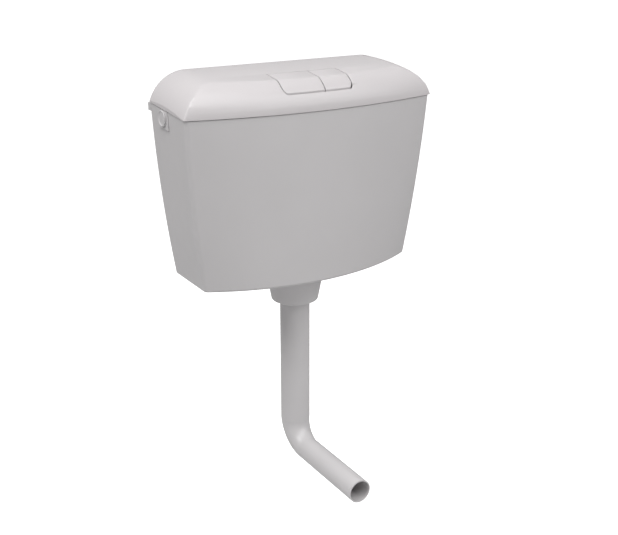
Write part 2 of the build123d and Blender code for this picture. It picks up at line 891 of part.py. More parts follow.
def make_back_nut():
    low = -back_nut_low_gap - back_nut_height
    nut = Pos(0, outlet_y, low) * hexagon_bar(back_nut_across, back_nut_height)
    return nut - post(0, outlet_y, low - wall, wall, tail_radius + thread_play)


def make_collar():
    """Tapering collar: outer cup, inner threaded boss and the shoulder under the seal."""
    boss_inner = tail_radius + thread_play
    boss_outer = boss_inner + collar_boss_wall
    pipe_hole = pipe_radius + thread_play
    taper = (collar_top_radius - collar_side_radius) / collar_side_height
    cup_low_r = collar_top_radius - collar_wall - taper * -collar_shoulder_z
    profile = Polygon(
        (collar_top_radius, -collar_top_gap),
        (collar_side_radius, -collar_side_height),
        (collar_bottom_radius, -collar_height),
        (pipe_hole, -collar_height),
        (pipe_hole, collar_shoulder_z),
        (boss_inner, collar_shoulder_z),
        (boss_inner, collar_boss_top_z),
        (boss_outer, collar_boss_top_z),
        (boss_outer, collar_shoulder_z),
        (cup_low_r, collar_shoulder_z),
        (collar_top_radius - collar_wall, -collar_top_gap),
        align=None,
    )
    edge = profile.vertices().sort_by_distance((collar_side_radius, -collar_side_height, 0))[0]
    profile = fillet(edge, collar_edge_radius)
    foot = profile.vertices().sort_by_distance((collar_bottom_radius, -collar_height, 0))[0]
    profile = fillet(foot, collar_wall * half)
    return OUTLET * revolve(Plane.XZ * profile, Axis.Z)


def make_cone_seal():
    """Rubber cone washer that grips the pipe inside the collar."""
    inner = pipe_radius + cone_seal_play
    low = collar_shoulder_z + cone_seal_play
    top = tail_low_z - cone_seal_play
    return turned(
        (inner, low), (tail_radius, low), (tail_radius, top - cone_seal_chamfer),
        (tail_radius - cone_seal_chamfer, top), (inner, top),
    )


def pipe_solid(shrink, extra):
    """Upright leg, reducing quarter bend and level leg, as one solid."""
    upright_low = pipe_leg_z + pipe_bend_radius
    upright = post(0, outlet_y, upright_low, pipe_top_z + extra, pipe_radius - shrink)
    centre_y = outlet_y - pipe_bend_radius
    circles = []
    for i in range(pipe_bend_steps + 1):
        share = i / pipe_bend_steps
        angle = math.radians(right_angle * share)
        radius = pipe_radius + (pipe_leg_radius - pipe_radius) * share - shrink
        y = centre_y + pipe_bend_radius * math.cos(angle)
        z = upright_low - pipe_bend_radius * math.sin(angle)
        direction = (0, -math.sin(angle), -math.cos(angle))
        plane = Plane(origin=(0, y, z), x_dir=(1, 0, 0), z_dir=direction)
        circles.append(plane * Circle(radius))
    bend = loft(circles)
    leg = Cylinder(pipe_leg_radius - shrink, pipe_leg_length + extra, align=BASE)
    return upright + bend + Pos(0, centre_y, pipe_leg_z) * Rot(right_angle, 0, 0) * leg


def make_flush_pipe():
    return pipe_solid(0, 0) - pipe_solid(pipe_wall, wall)


def make_cage():
    """Cage of the flush valve: windowed drum, shoulder and long guide neck."""
    low = wall + outlet_seal_thickness + seat_flange_thickness
    inner = cage_radius - cage_wall
    cage = turned(
        (inner, low), (cage_radius, low), (cage_radius, cage_top_z - cage_wall),
        (cage_radius - cage_wall, cage_top_z), (neck_radius, cage_top_z), (neck_radius, neck_top_z),
        (neck_bore_radius, neck_top_z), (neck_bore_radius, cage_top_z - cage_roof),
        (inner - cage_wall, cage_top_z - cage_roof), (inner, cage_top_z - cage_roof - cage_wall),
    )
    height = cage_window_top_z - cage_window_low_z
    for i in range(cage_windows):
        window = Box(cage_radius, cage_window_width, height, align=(Align.MIN, Align.CENTER, Align.MIN))
        arch = window.edges().filter_by(Axis.X)
        window = fillet(arch, cage_window_corner_radius)
        turn = Rot(0, 0, (i + half) * full_turn / cage_windows)
        cage = cage - OUTLET * turn * Pos(neck_radius, 0, cage_window_low_z) * window
    return cage


def lip_z():
    return wall + outlet_seal_thickness + seat_flange_thickness + seat_lip_height


def make_overflow_tube():
    """Overflow tube with the bell at its foot."""
    seat = lip_z() + touch_gap + valve_seal_thickness
    bell_neck = tube_radius + bell_rim
    return turned(
        (tube_bore_radius, tube_low_z), (tube_radius, tube_low_z), (tube_radius, seat),
        (bell_radius, seat), (bell_radius, seat + bell_rim), (bell_neck, seat + bell_height),
        (tube_radius, seat + bell_height), (tube_radius, tube_top_z), (tube_bore_radius, tube_top_z),
    )


def make_valve_seal():
    inner = tube_radius + screw_play
    low = lip_z() + touch_gap
    return washer(inner, valve_seal_radius, low, low + valve_seal_thickness)


def make_retainer():
    """Ring screwed on the tube's foot, under the rubber seal."""
    inner = tube_radius + screw_play
    top = lip_z() + touch_gap
    edge = retainer_radius - wall * half
    return turned((inner, tube_low_z), (edge, tube_low_z), (retainer_radius, top), (inner, top))


def lift_pin(x):
    """Cross pin on top of a lift rod, which the rocker's fork lifts."""
    z = axle_z + rocker_arm_thickness * half + touch_gap + lift_pin_radius
    reach = lift_pin_length * half
    return bar_x(x - reach, x + reach, outlet_y, z, lift_pin_radius), z


def make_full_lift_rod():
    top = lift_ring_z + lift_ring_height
    inner = tube_radius + screw_play
    ring = washer(inner, lift_ring_radius, lift_ring_z, top)
    pin, z = lift_pin(full_rod_x)
    lug = post(full_rod_x, outlet_y, lift_ring_z, top, lift_pin_radius + wall * half)
    lug = lug - post(0, outlet_y, lift_ring_z - wall, top + wall, inner)
    return ring + lug + post(full_rod_x, outlet_y, lift_ring_z, z, lift_rod_radius) + pin


def make_half_float():
    """Ring float that rides on the valve's neck."""
    low = cage_top_z + touch_gap
    inner = neck_radius + float_ring_play
    ring = washer(inner, float_ring_radius, low, low + float_ring_height)
    outer = ring.edges().filter_by(GeomType.CIRCLE).sort_by(SortBy.RADIUS)[-2:]
    ring = fillet(outer, float_ring_round)
    top = low + float_ring_height + wall
    return ring - post(half_rod_x, outlet_y, low + wall, top, lift_rod_radius + screw_play)


def make_half_lift_rod():
    low = cage_top_z + touch_gap + wall
    pin, z = lift_pin(half_rod_x)
    return post(half_rod_x, outlet_y, low, z, lift_rod_radius) + pin


def make_bridge():
    """Bridge clamped on the neck: ring, cross plate and two leaning cheeks."""
    low = neck_top_z - bridge_ring_height
    inner = neck_radius + screw_play
    bridge = washer(inner, bridge_ring_radius, low, neck_top_z)
    plate = block(
        (-bridge_plate_half, bridge_plate_front_y, low),
        (bridge_plate_half, bridge_plate_back_y, low + bridge_plate_thickness),
    )
    bridge = bridge + (plate - post(0, outlet_y, low - wall, neck_top_z, inner))
    rise = Wire([
        Line((bridge_plate_back_y, low), (bridge_plate_back_y, low + bridge_ring_height)),
        Line((bridge_plate_back_y, low + bridge_ring_height), (axle_y + cheek_boss_radius, axle_z)),
        ThreePointArc(
            (axle_y + cheek_boss_radius, axle_z),
            (axle_y, axle_z + cheek_boss_radius),
            (axle_y - cheek_boss_radius, axle_z),
        ),
        Line((axle_y - cheek_boss_radius, axle_z), (bridge_plate_front_y, low)),
        Line((bridge_plate_front_y, low), (bridge_plate_back_y, low)),
    ])
    cheek = extrude(Plane.YZ * make_face(rise), cheek_wall)
    bore = axle_radius + rocker_play
    for x in (-bridge_plate_half, bridge_plate_half - cheek_wall):
        bridge = bridge + Pos(x, 0, 0) * cheek
    web_low = low + bridge_plate_thickness
    web_front = bridge_plate_front_y + cheek_wall
    web = block(
        (-bridge_plate_half, web_front, low),
        (bridge_plate_half, web_front + cheek_wall, web_low + bridge_ring_height),
    )
    bridge = bridge + (web - post(0, outlet_y, low - wall, lift_ring_z, inner))
    reach = bridge_plate_half + wall
    return bridge - bar_x(-reach, reach, axle_y, axle_z, bore)


def make_axle():
    reach = bridge_plate_half + touch_gap
    pin = bar_x(-reach, reach, axle_y, axle_z, axle_radius)
    left = bar_x(-reach - axle_head_height, -reach, axle_y, axle_z, axle_head_radius)
    right = bar_x(reach, reach + axle_head_height, axle_y, axle_z, axle_head_radius)
    return pin + left + right


def make_rocker(rod_x, side):
    """Rocker: hub on the axle, pad under the key's finger, fork round the lift rod."""
    inner = side * rocker_inner_x
    outer = side * rocker_outer_x
    low_x = min(inner, outer)
    high_x = max(inner, outer)
    hub = bar_x(low_x, high_x, axle_y, axle_z, rocker_hub_radius)
    finger_place = side * finger_x
    front = axle_y - rocker_front_reach
    pad = block(
        (finger_place - rocker_arm_width * half, front, axle_z - rocker_arm_thickness),
        (finger_place + rocker_arm_width * half, axle_y, axle_z),
    )
    rear = outlet_y + rocker_fork_overreach
    arm = block(
        (rod_x - rocker_arm_width * half, axle_y, axle_z - rocker_arm_thickness * half),
        (rod_x + rocker_arm_width * half, rear, axle_z + rocker_arm_thickness * half),
    )
    slot_half = lift_rod_radius + rocker_slot_play
    slot = block(
        (rod_x - slot_half, outlet_y - rocker_slot_lead, axle_z - rocker_arm_thickness),
        (rod_x + slot_half, rear + wall, axle_z + rocker_arm_thickness),
    )
    rocker = hub + pad + arm - slot
    return rocker - bar_x(low_x - wall, high_x + wall, axle_y, axle_z, axle_radius + rocker_play)


def make_fill_body():
    """Fill valve: threaded tail, inner flange, barrel and diaphragm seat."""
    seal_x = inner_wall_x() - inlet_seal_thickness
    flange_x = seal_x - fill_flange_thickness
    thread_x = fill_nut_x() + fill_nut_height + inlet_relief
    body = bar_x(seal_x, thread_x, inlet_y, inlet_z, inlet_shank_radius)
    body = body + bar_x(thread_x, inlet_tail_end_x, inlet_y, inlet_z, inlet_tail_radius)
    body = body + bar_x(flange_x, seal_x, inlet_y, inlet_z, inlet_seal_radius)
    body = body + bar_x(fill_barrel_end_x, flange_x, inlet_y, inlet_z, fill_barrel_radius)
    head_x = fill_barrel_end_x - fill_head_length
    body = body + bar_x(head_x, fill_barrel_end_x, inlet_y, inlet_z, fill_head_radius)
    spout = post(fill_tube_x, inlet_y, inlet_z - fill_head_radius - wall, inlet_z, fill_spout_radius)
    body = body + spout
    body = body - bar_x(fill_barrel_end_x, inlet_tail_end_x + wall, inlet_y, inlet_z, inlet_bore_radius)
    return body


def head_face_x():
    return fill_barrel_end_x - fill_head_length


def make_diaphragm():
    end = head_face_x() - screw_play
    return bar_x(end - diaphragm_thickness, end, inlet_y, inlet_z, diaphragm_radius)


def make_cap():
    """Fluted cap that clamps the diaphragm; two ears on it carry the float arm."""
    start = head_face_x() - diaphragm_thickness - cap_wall - screw_play - screw_play
    end = start + cap_length
    cap = bar_x(start, end, inlet_y, inlet_z, cap_radius)
    cap = cap - bar_x(start + cap_wall, end + wall, inlet_y, inlet_z, fill_head_radius + screw_play)
    for i in range(cap_flutes):
        angle = math.radians(full_turn * i / cap_flutes)
        y = inlet_y + cap_radius * math.cos(angle)
        z = inlet_z + cap_radius * math.sin(angle)
        cap = cap - bar_x(start - wall, end + wall, y, z, cap_flute_radius)
    ear_low = inlet_z + fill_head_radius * half
    for side in (-1, 1):
        middle = inlet_y + side * (arm_width * half + touch_gap + arm_ear_thickness * half)
        ear = block(
            (arm_pivot_x, middle - arm_ear_thickness * half, ear_low),
            (start + cap_wall * half, middle + arm_ear_thickness * half, arm_pivot_z + arm_boss_radius),
        )
        boss = Pos(arm_pivot_x, middle, arm_pivot_z) * Rot(right_angle, 0, 0)
        ear = ear + boss * Cylinder(arm_boss_radius, arm_ear_thickness)
        cap = cap + ear
    bore = Pos(arm_pivot_x, inlet_y, arm_pivot_z) * Rot(right_angle, 0, 0)
    return cap - bore * Cylinder(arm_pin_radius + hinge_play, overrun)


def make_arm_pin():
    length = arm_width + 2 * (touch_gap + arm_ear_thickness)
    turn = Pos(arm_pivot_x, inlet_y, arm_pivot_z) * Rot(right_angle, 0, 0)
    return turn * Cylinder(arm_pin_radius, length)


def make_float_arm():
    """Arm from the valve's pivot to the float screw."""
    turn = Pos(arm_pivot_x, inlet_y, arm_pivot_z) * Rot(right_angle, 0, 0)
    hub = turn * Cylinder(arm_boss_radius, arm_width)
    arm = block(
        (float_x, inlet_y - arm_width * half, arm_pivot_z - arm_thickness * half),
        (arm_pivot_x, inlet_y + arm_width * half, arm_pivot_z + arm_thickness * half),
    )
    low = arm_pivot_z - arm_width * half
    eye = post(float_x, inlet_y, low, low + arm_width, (arm_width + wall) * half)
    arm = arm + hub + eye - turn * Cylinder(arm_pin_radius + hinge_play, overrun)
    hole_radius = float_screw_radius + screw_play
    return arm - post(float_x, inlet_y, low - wall, low + arm_width + wall, hole_radius)


def make_float_screw():
    top = float_screw_top_z
    knob = post(float_x, inlet_y, top, top + wall, arm_boss_radius)
    return post(float_x, inlet_y, float_screw_low_z, top, float_screw_radius) + knob


def make_float():
    """Closed float: rounded box with the screw's socket in its top."""
    low = float_top_z - float_height
    outer = block(
        (float_x - float_width * half, inlet_y - float_depth * half, low),
        (float_x + float_width * half, inlet_y + float_depth * half, float_top_z),
    )
    outer = fillet(outer.edges().filter_by(Axis.Z), float_corner_radius)
    outer = fillet(outer.edges().group_by(Axis.Z)[-1], float_wall)
    hole_radius = float_screw_radius + screw_play
    return outer - post(float_x, inlet_y, float_screw_low_z - wall, float_top_z + wall, hole_radius)


def make_fill_tube():
    top = inlet_z - fill_barrel_radius - touch_gap
    tube = post(fill_tube_x, inlet_y, fill_tube_low_z, top, fill_tube_radius)
    return tube - post(fill_tube_x, inlet_y, fill_tube_low_z - wall, top + wall, fill_tube_bore)


def fill_nut_x():
    """Outer face of the right pad, which the back nut bears on."""
    return side_x + inlet_pad_proud


def make_fill_nut():
    return nut_x(fill_nut_x(), fill_nut_across, fill_nut_height, inlet_shank_radius + screw_play)


def save_all():
    save("tank", make_tank())
    save("lid", make_lid())
    overlap = key_gap * half
    save("full_flush_key", make_key(keys_left, key_divider_x + overlap, -finger_x, True, False))
    save("half_flush_key", make_key(key_divider_x - overlap, keys_right, finger_x, False, True))
    save("full_key_spring", make_spring(keys_left, key_divider_x))
    save("half_key_spring", make_spring(key_divider_x, keys_right))
    save("key_hinge_pin", make_hinge_pin())
    save("key_carrier", make_tray())
    save("carrier_screws", make_tray_screws())
    save("lid_screw", make_lid_screw())
    save("wall_rail", make_rail())
    save("wall_buffers", make_buffers())
    save("inlet_plug", make_plug())
    save("inlet_plug_seal", make_inlet_seal(-1))
    save("inlet_plug_nut", make_plug_nut())
    save("valve_seat", make_valve_seat())
    save("outlet_seal", make_outlet_seal())
    save("outlet_back_nut", make_back_nut())
    save("outlet_collar", make_collar())
    save("pipe_seal", make_cone_seal())
    save("flush_pipe", make_flush_pipe())
    save("valve_basket", make_cage())
    save("overflow_tube", make_overflow_tube())
    save("valve_seal", make_valve_seal())
    save("seal_retainer", make_retainer())
    save("full_lift_rod", make_full_lift_rod())
    save("half_flush_float", make_half_float())
    save("half_lift_rod", make_half_lift_rod())
    save("valve_bridge", make_bridge())
    save("rocker_axle", make_axle())
    save("full_rocker", make_rocker(full_rod_x, -1))
    save("half_rocker", make_rocker(half_rod_x, 1))
    save("fill_valve_body", make_fill_body())
    save("fill_seal", make_inlet_seal(1))
    save("fill_back_nut", make_fill_nut())
    save("diaphragm", make_diaphragm())
    save("diaphragm_cap", make_cap())
    save("float_arm", make_float_arm())
    save("float_arm_pin", make_arm_pin())
    save("float_screw", make_float_screw())
    save("float_cup", make_float())
    save("fill_tube", make_fill_tube())


if __name__ == "__main__":
    os.makedirs("parts", exist_ok=True)
    save_all()
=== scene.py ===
# %% [markdown]
# # A plastic toilet cistern
#
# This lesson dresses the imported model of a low-level cistern: a tapering tank with a bowed front,
# a domed lid with two flush keys, and a bent flush pipe under it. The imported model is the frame.
# It is loaded first, and every piece made here goes where the frame says, in metres.

# %% Load the frame
import json
import math

import bpy
from mathutils import Euler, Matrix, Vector
from mathutils.kdtree import KDTree


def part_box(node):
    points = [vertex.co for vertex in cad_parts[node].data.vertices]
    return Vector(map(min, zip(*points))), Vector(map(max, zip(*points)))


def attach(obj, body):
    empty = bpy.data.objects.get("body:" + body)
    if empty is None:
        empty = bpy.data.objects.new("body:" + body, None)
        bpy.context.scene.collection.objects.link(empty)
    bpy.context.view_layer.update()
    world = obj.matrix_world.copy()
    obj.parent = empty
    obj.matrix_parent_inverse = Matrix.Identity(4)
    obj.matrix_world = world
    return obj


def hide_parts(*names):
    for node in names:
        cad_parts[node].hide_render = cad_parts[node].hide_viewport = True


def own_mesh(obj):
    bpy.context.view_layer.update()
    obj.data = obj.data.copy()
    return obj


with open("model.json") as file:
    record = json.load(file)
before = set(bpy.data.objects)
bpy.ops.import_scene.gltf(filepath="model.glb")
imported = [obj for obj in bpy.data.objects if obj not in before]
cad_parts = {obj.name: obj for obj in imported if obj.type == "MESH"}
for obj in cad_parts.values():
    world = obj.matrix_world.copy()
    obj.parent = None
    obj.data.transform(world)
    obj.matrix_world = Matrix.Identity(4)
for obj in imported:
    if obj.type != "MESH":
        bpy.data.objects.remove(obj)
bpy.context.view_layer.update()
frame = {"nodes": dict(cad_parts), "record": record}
nodes = frame["nodes"]

# %% [markdown]
# ## Working in edit mode
#
# Each new piece starts as a primitive and is shaped in edit mode, as by hand. An operator acts on
# whatever is selected, so the helpers deselect everything first, pick points, edges or faces by
# place, and leave edit mode again. Sizes are written in millimetres, and MM turns them to metres.

# %% Helpers for modelling
MM = 0.001


def enter():
    """Goes into edit mode."""
    bpy.ops.object.mode_set(mode="EDIT")


def leave():
    """Goes back to object mode."""
    bpy.ops.object.mode_set(mode="OBJECT")


def only(piece):
    """Makes one object the only selected one, and the active one."""
    if bpy.context.object and bpy.context.object.mode != "OBJECT":
        leave()
    bpy.ops.object.select_all(action="DESELECT")
    piece.select_set(True)
    bpy.context.view_layer.objects.active = piece


def named(name):
    """Gives the object that was just added its name."""
    piece = bpy.context.object
    piece.name = name
    piece.data.name = name
    return piece


def settle(piece):
    """Moves an object's place, turn and scale into its mesh."""
    only(piece)
    bpy.ops.object.transform_apply(location=True, rotation=True, scale=True)
    return piece


def apply_modifier(piece, kind, **settings):
    """Adds one modifier with its settings and applies it."""
    only(piece)
    modifier = piece.modifiers.new(kind.lower(), kind)
    for key, value in settings.items():
        setattr(modifier, key, value)
    bpy.ops.object.modifier_apply(modifier=modifier.name)


def smooth(piece, degrees):
    """Shades smoothly across every edge that bends less than this."""
    only(piece)
    bpy.ops.object.shade_smooth_by_angle(angle=math.radians(degrees))


# %% [markdown]
# ## Plastics, rubber and metal
#
# The visible shell is moulded plastic in one pale grey. Real mouldings are never perfectly even:
# the colour drifts a little over a hand's width, and the gloss varies where the tool was polished.
# The valve inside is a coarser moulding, and it gets a fine relief, as the rubber and the metal
# do. The shell gets none, because from a few steps away it would only speckle. A picture could
# carry all this, but it would need a file and a flat layout of every piece. Noise on Object
# coordinates needs neither, and the pattern stays with the piece in every view.

# %% Helpers for materials
NOISE_LOW, NOISE_HIGH = 0.3, 0.7


def new_material(name):
    """New node material, returned with its node tree and its shader."""
    material = bpy.data.materials.new(name)
    material.use_nodes = True
    tree = material.node_tree
    shader = tree.nodes["Principled BSDF"]
    return material, tree, shader


def noise(tree, coords, scale, detail=2.0):
    """Noise texture on the given coordinates."""
    texture = tree.nodes.new("ShaderNodeTexNoise")
    texture.inputs["Scale"].default_value = scale
    texture.inputs["Detail"].default_value = detail
    tree.links.new(coords, texture.inputs["Vector"])
    return texture.outputs["Fac"]


def spread(tree, source, low, high):
    """Turns a noise value into a number between two limits."""
    node = tree.nodes.new("ShaderNodeMapRange")
    node.inputs["From Min"].default_value = NOISE_LOW
    node.inputs["From Max"].default_value = NOISE_HIGH
    node.inputs["To Min"].default_value = low
    node.inputs["To Max"].default_value = high
    tree.links.new(source, node.inputs["Value"])
    return node.outputs["Result"]


# %% Helpers for tones and grain


def two_tones(tree, source, dark, light):
    """Colour between two tones, led by a noise value."""
    ramp = tree.nodes.new("ShaderNodeValToRGB")
    stops = ((NOISE_LOW, dark), (NOISE_HIGH, light))
    for element, (position, tone) in zip(ramp.color_ramp.elements, stops):
        element.position = position
        element.color = (*tone, 1)
    tree.links.new(source, ramp.inputs["Fac"])
    return ramp.outputs["Color"]


def grain(tree, shader, height, depth):
    """Fine relief from a noise value."""
    bump = tree.nodes.new("ShaderNodeBump")
    bump.inputs["Strength"].default_value = 1.0
    bump.inputs["Distance"].default_value = depth
    tree.links.new(height, bump.inputs["Height"])
    tree.links.new(bump.outputs["Normal"], shader.inputs["Normal"])


def shade(color, factor):
    """A colour made darker or lighter by a factor."""
    return tuple(channel * factor for channel in color)


# %% Plastic, rubber and metal


def plastic(name, color, rough, drift=0.02, relief=0.0):
    """Moulded plastic: slow colour drift, uneven gloss and, on coarser pieces, a grain."""
    material, tree, shader = new_material(name)
    coords = tree.nodes.new("ShaderNodeTexCoord").outputs["Object"]
    slow = noise(tree, coords, scale=9.0)
    tone = two_tones(tree, slow, shade(color, 1 - drift), shade(color, 1 + drift))
    tree.links.new(tone, shader.inputs["Base Color"])
    patch = noise(tree, coords, scale=45.0, detail=3.0)
    tree.links.new(spread(tree, patch, *rough), shader.inputs["Roughness"])
    if relief:
        grain(tree, shader, noise(tree, coords, scale=1400.0, detail=1.0), relief)
    return material


def rubber(name, color):
    """Dull rubber with a faint bloom and a fine grain."""
    material, tree, shader = new_material(name)
    coords = tree.nodes.new("ShaderNodeTexCoord").outputs["Object"]
    cloud = noise(tree, coords, scale=60.0, detail=4.0)
    bloom = two_tones(tree, cloud, dark=shade(color, 0.8), light=shade(color, 1.5))
    tree.links.new(bloom, shader.inputs["Base Color"])
    dull = spread(tree, noise(tree, coords, scale=200.0), low=0.6, high=0.85)
    tree.links.new(dull, shader.inputs["Roughness"])
    grain(tree, shader, noise(tree, coords, scale=2200.0, detail=1.0), depth=0.02 * MM)
    return material


def metal(name, color, rough, stretch):
    """Turned or drawn metal: marks run round or along it, as the stretch says."""
    material, tree, shader = new_material(name)
    coords = tree.nodes.new("ShaderNodeTexCoord").outputs["Object"]
    mapping = tree.nodes.new("ShaderNodeMapping")
    mapping.inputs["Scale"].default_value = stretch
    tree.links.new(coords, mapping.inputs["Vector"])
    marks = noise(tree, mapping.outputs["Vector"], scale=300.0, detail=3.0)
    cloud = noise(tree, coords, scale=50.0)
    tone = two_tones(tree, cloud, dark=shade(color, 0.88), light=shade(color, 1.05))
    tree.links.new(tone, shader.inputs["Base Color"])
    tree.links.new(spread(tree, marks, *rough), shader.inputs["Roughness"])
    shader.inputs["Metallic"].default_value = 1.0
    grain(tree, shader, marks, depth=0.01 * MM)
    return material


# %% Finishes of this cistern
SHELL_GREY = (0.588, 0.572, 0.577)
LID_GREY = (0.600, 0.574, 0.581)
VALVE_RELIEF = 0.004
ALL_ROUND, TURNED, DRAWN = (1, 1, 1), (6, 0.3, 0.3), (1, 1, 0.1)
finishes = {
    "lid_plastic": plastic(
        "polished lid plastic", LID_GREY, rough=(0.30, 0.33), drift=0.006),
    "key_plastic": plastic(
        "polished key plastic", LID_GREY, rough=(0.29, 0.32), drift=0.006),
    "tank_plastic": plastic(
        "satin tank plastic", shade(SHELL_GREY, 0.97), rough=(0.4, 0.52), drift=0.012),
    "rail_plastic": plastic("rail plastic", shade(SHELL_GREY, 0.97), rough=(0.4, 0.52)),
    "pipe_plastic": plastic("drawn pipe plastic", shade(SHELL_GREY, 1.06), rough=(0.13, 0.18)),
    "collar_plastic": plastic("collar plastic", shade(SHELL_GREY, 1.07), rough=(0.4, 0.5)),
    "valve_plastic": plastic(
        "natural valve plastic", (0.72, 0.71, 0.68), rough=(0.35, 0.5), drift=0.04,
        relief=VALVE_RELIEF * MM),
    "grey_plastic": plastic(
        "grey valve plastic", (0.20, 0.21, 0.23), rough=(0.35, 0.5), drift=0.06),
    "float_plastic": plastic(
        "blue float plastic", (0.06, 0.16, 0.33), rough=(0.4, 0.5), drift=0.06),
    "seal_rubber": rubber("black seal rubber", (0.012, 0.012, 0.013)),
    "spring_steel": metal(
        "bright spring wire", (0.62, 0.62, 0.63), rough=(0.18, 0.3), stretch=ALL_ROUND),
    "screw_steel": metal(
        "plated steel", (0.55, 0.55, 0.56), rough=(0.25, 0.4), stretch=DRAWN),
    "tail_brass": metal(
        "turned brass", (0.66, 0.47, 0.17), rough=(0.2, 0.34), stretch=TURNED),
}
for part in frame["record"]["subparts"]:
    node = nodes[part["node"]]
    node.data.materials.clear()
    node.data.materials.append(finishes[part["material_slot"]])
# Painted shade: the lid screw is coloured near black, so that the round recess it sits in reads
# dark.
recess_shade_black = metal(
    "screw painted dark for recess shade", (0.05, 0.045, 0.045), rough=(0.3, 0.45), stretch=DRAWN)
nodes["lid_screw"].data.materials[0] = recess_shade_black
print("finishes", len(finishes), "and a black one for the lid screw")

# %% [markdown]
# ## Places and cuts
#
# The tank, the lid and the keys share one set of measures: x from the middle, y from the tank's
# back and z from its foot, in millimetres. One helper turns such a place into the frame's metres,
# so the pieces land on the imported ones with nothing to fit. A test for a place allows a margin:
# TINY where the place is known exactly, and NEAR where only one thing can lie so close.

# %% Helpers for places
tank_low, tank_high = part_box("tank")
TINY, NEAR = 0.01, 1.0
print("tank foot", round(tank_low.z, 4), "tank back", round(tank_high.y, 4))


def spot(x, y, z):
    """Turns a place in the tank's millimetres into metres in the frame."""
    return Vector((x * MM, tank_high.y + y * MM, tank_low.z + z * MM))


def measures(place):
    """Turns a place in metres back into the tank's millimetres."""
    return place.x / MM, (place.y - tank_high.y) / MM, (place.z - tank_low.z) / MM


def box_piece(name, low, high):
    """Block between two corners, as a start for a shape."""
    bpy.ops.object.select_all(action="DESELECT")
    bpy.ops.mesh.primitive_cube_add(size=1)
    piece = named(name)
    start, end = spot(*low), spot(*high)
    piece.location = (start + end) / 2
    piece.scale = end - start
    return settle(piece)


def rod_piece(name, start, end, radius, sides=40):
    """Round bar between two places, as a start for a shape."""
    bpy.ops.object.select_all(action="DESELECT")
    start, end = spot(*start), spot(*end)
    length = (end - start).length
    bpy.ops.mesh.primitive_cylinder_add(vertices=sides, radius=radius * MM, depth=length)
    piece = named(name)
    piece.location = (start + end) / 2
    piece.rotation_euler = (end - start).to_track_quat("Z", "Y").to_euler()
    return settle(piece)


# %% Helpers for selections


def select_all_of(piece):
    """Enters edit mode with all of a piece selected."""
    only(piece)
    enter()
    bpy.ops.mesh.select_all(action="SELECT")


def select_none_of(piece, kind):
    """Sets whether points, edges or faces are selected, and deselects them all."""
    only(piece)
    enter()
    bpy.ops.mesh.select_mode(type=kind)
    bpy.ops.mesh.select_all(action="DESELECT")
    leave()


def pick(piece, test, kind="VERT"):
    """Selects points, or edges, that pass the test all along, and enters edit mode."""
    select_none_of(piece, kind)
    mesh = piece.data
    for item in mesh.vertices if kind == "VERT" else mesh.edges:
        ends = [item.co] if kind == "VERT" else [mesh.vertices[i].co for i in item.vertices]
        middle = sum(ends, Vector()) / len(ends)
        item.select = all(test(*measures(place)) for place in (*ends, middle))
    enter()


# %% Helpers for cuts, copies and joins


def cut(piece, place, normal, drop=None, fill=False):
    """Cuts a whole piece by a plane and drops the side in front of it, behind it or neither."""
    select_all_of(piece)
    bpy.ops.mesh.bisect(
        plane_co=spot(*place), plane_no=normal, use_fill=fill,
        clear_inner=drop == "behind", clear_outer=drop == "front",
    )
    leave()


def tidy(piece):
    """Merges doubled points and turns every face outwards."""
    select_all_of(piece)
    bpy.ops.mesh.remove_doubles(threshold=TINY * MM)
    bpy.ops.mesh.normals_make_consistent(inside=False)
    leave()


def close_slivers(piece):
    """Fills the slivers that an exact cut or a narrow bevel can leave open."""
    select_all_of(piece)
    bpy.ops.mesh.fill_holes(sides=0)
    leave()


def copied(piece, name):
    """Copy of a piece with its own mesh."""
    only(piece)
    bpy.ops.object.duplicate()
    return named(name)


def boolean(piece, tool, operation):
    """Takes another piece out of a piece, or keeps what both share, and drops the other."""
    apply_modifier(piece, "BOOLEAN", object=tool, operation=operation, solver="EXACT")
    bpy.data.objects.remove(tool)


def joined(piece, *others):
    """Adds other pieces' meshes to one piece."""
    only(piece)
    for other in others:
        other.select_set(True)
    bpy.ops.object.join()
    return piece


# %% [markdown]
# ## The lid's form
#
# Two simple forms meet in the lid. The first is a slab with rolled ends: its top falls towards the
# front in a long crown, its ends swell a little in the middle, and an upright cut trims each end
# to a narrow flat. The second is the front roll, an arc that runs into a straight slope, turned
# about an upright axis some 900 mm behind the tank's back. What both hold in common is the lid:
# its shallow crease and its mitred corners come from the crossing alone, as they did in the mould.
# A block with rounded edges would be quicker, but its crease and corners would have to be pulled
# into place by eye.

# %% Crown and swelling ends
CROWN_RADIUS = 685.0
BARREL = 0.8
BARREL_MIDDLE = 62.0


def crown_drop(y):
    """How far the lid's top has fallen at depth y."""
    return CROWN_RADIUS - math.sqrt(CROWN_RADIUS ** 2 - y ** 2)


def end_swell(y):
    """How far the rolled ends stand out at depth y."""
    return BARREL * (1 - ((y + BARREL_MIDDLE) / BARREL_MIDDLE) ** 2)


# %% Slab with rolled ends and a crown
LID_TOP = 328.7
END_ROLL = 64.5
END_CENTRE = 160.5
LID_SIDE = 221.4
FORM_LOW = 215.0
RING_STEP = 8
SLAB_FRONT, SLAB_BACK = -176, 16

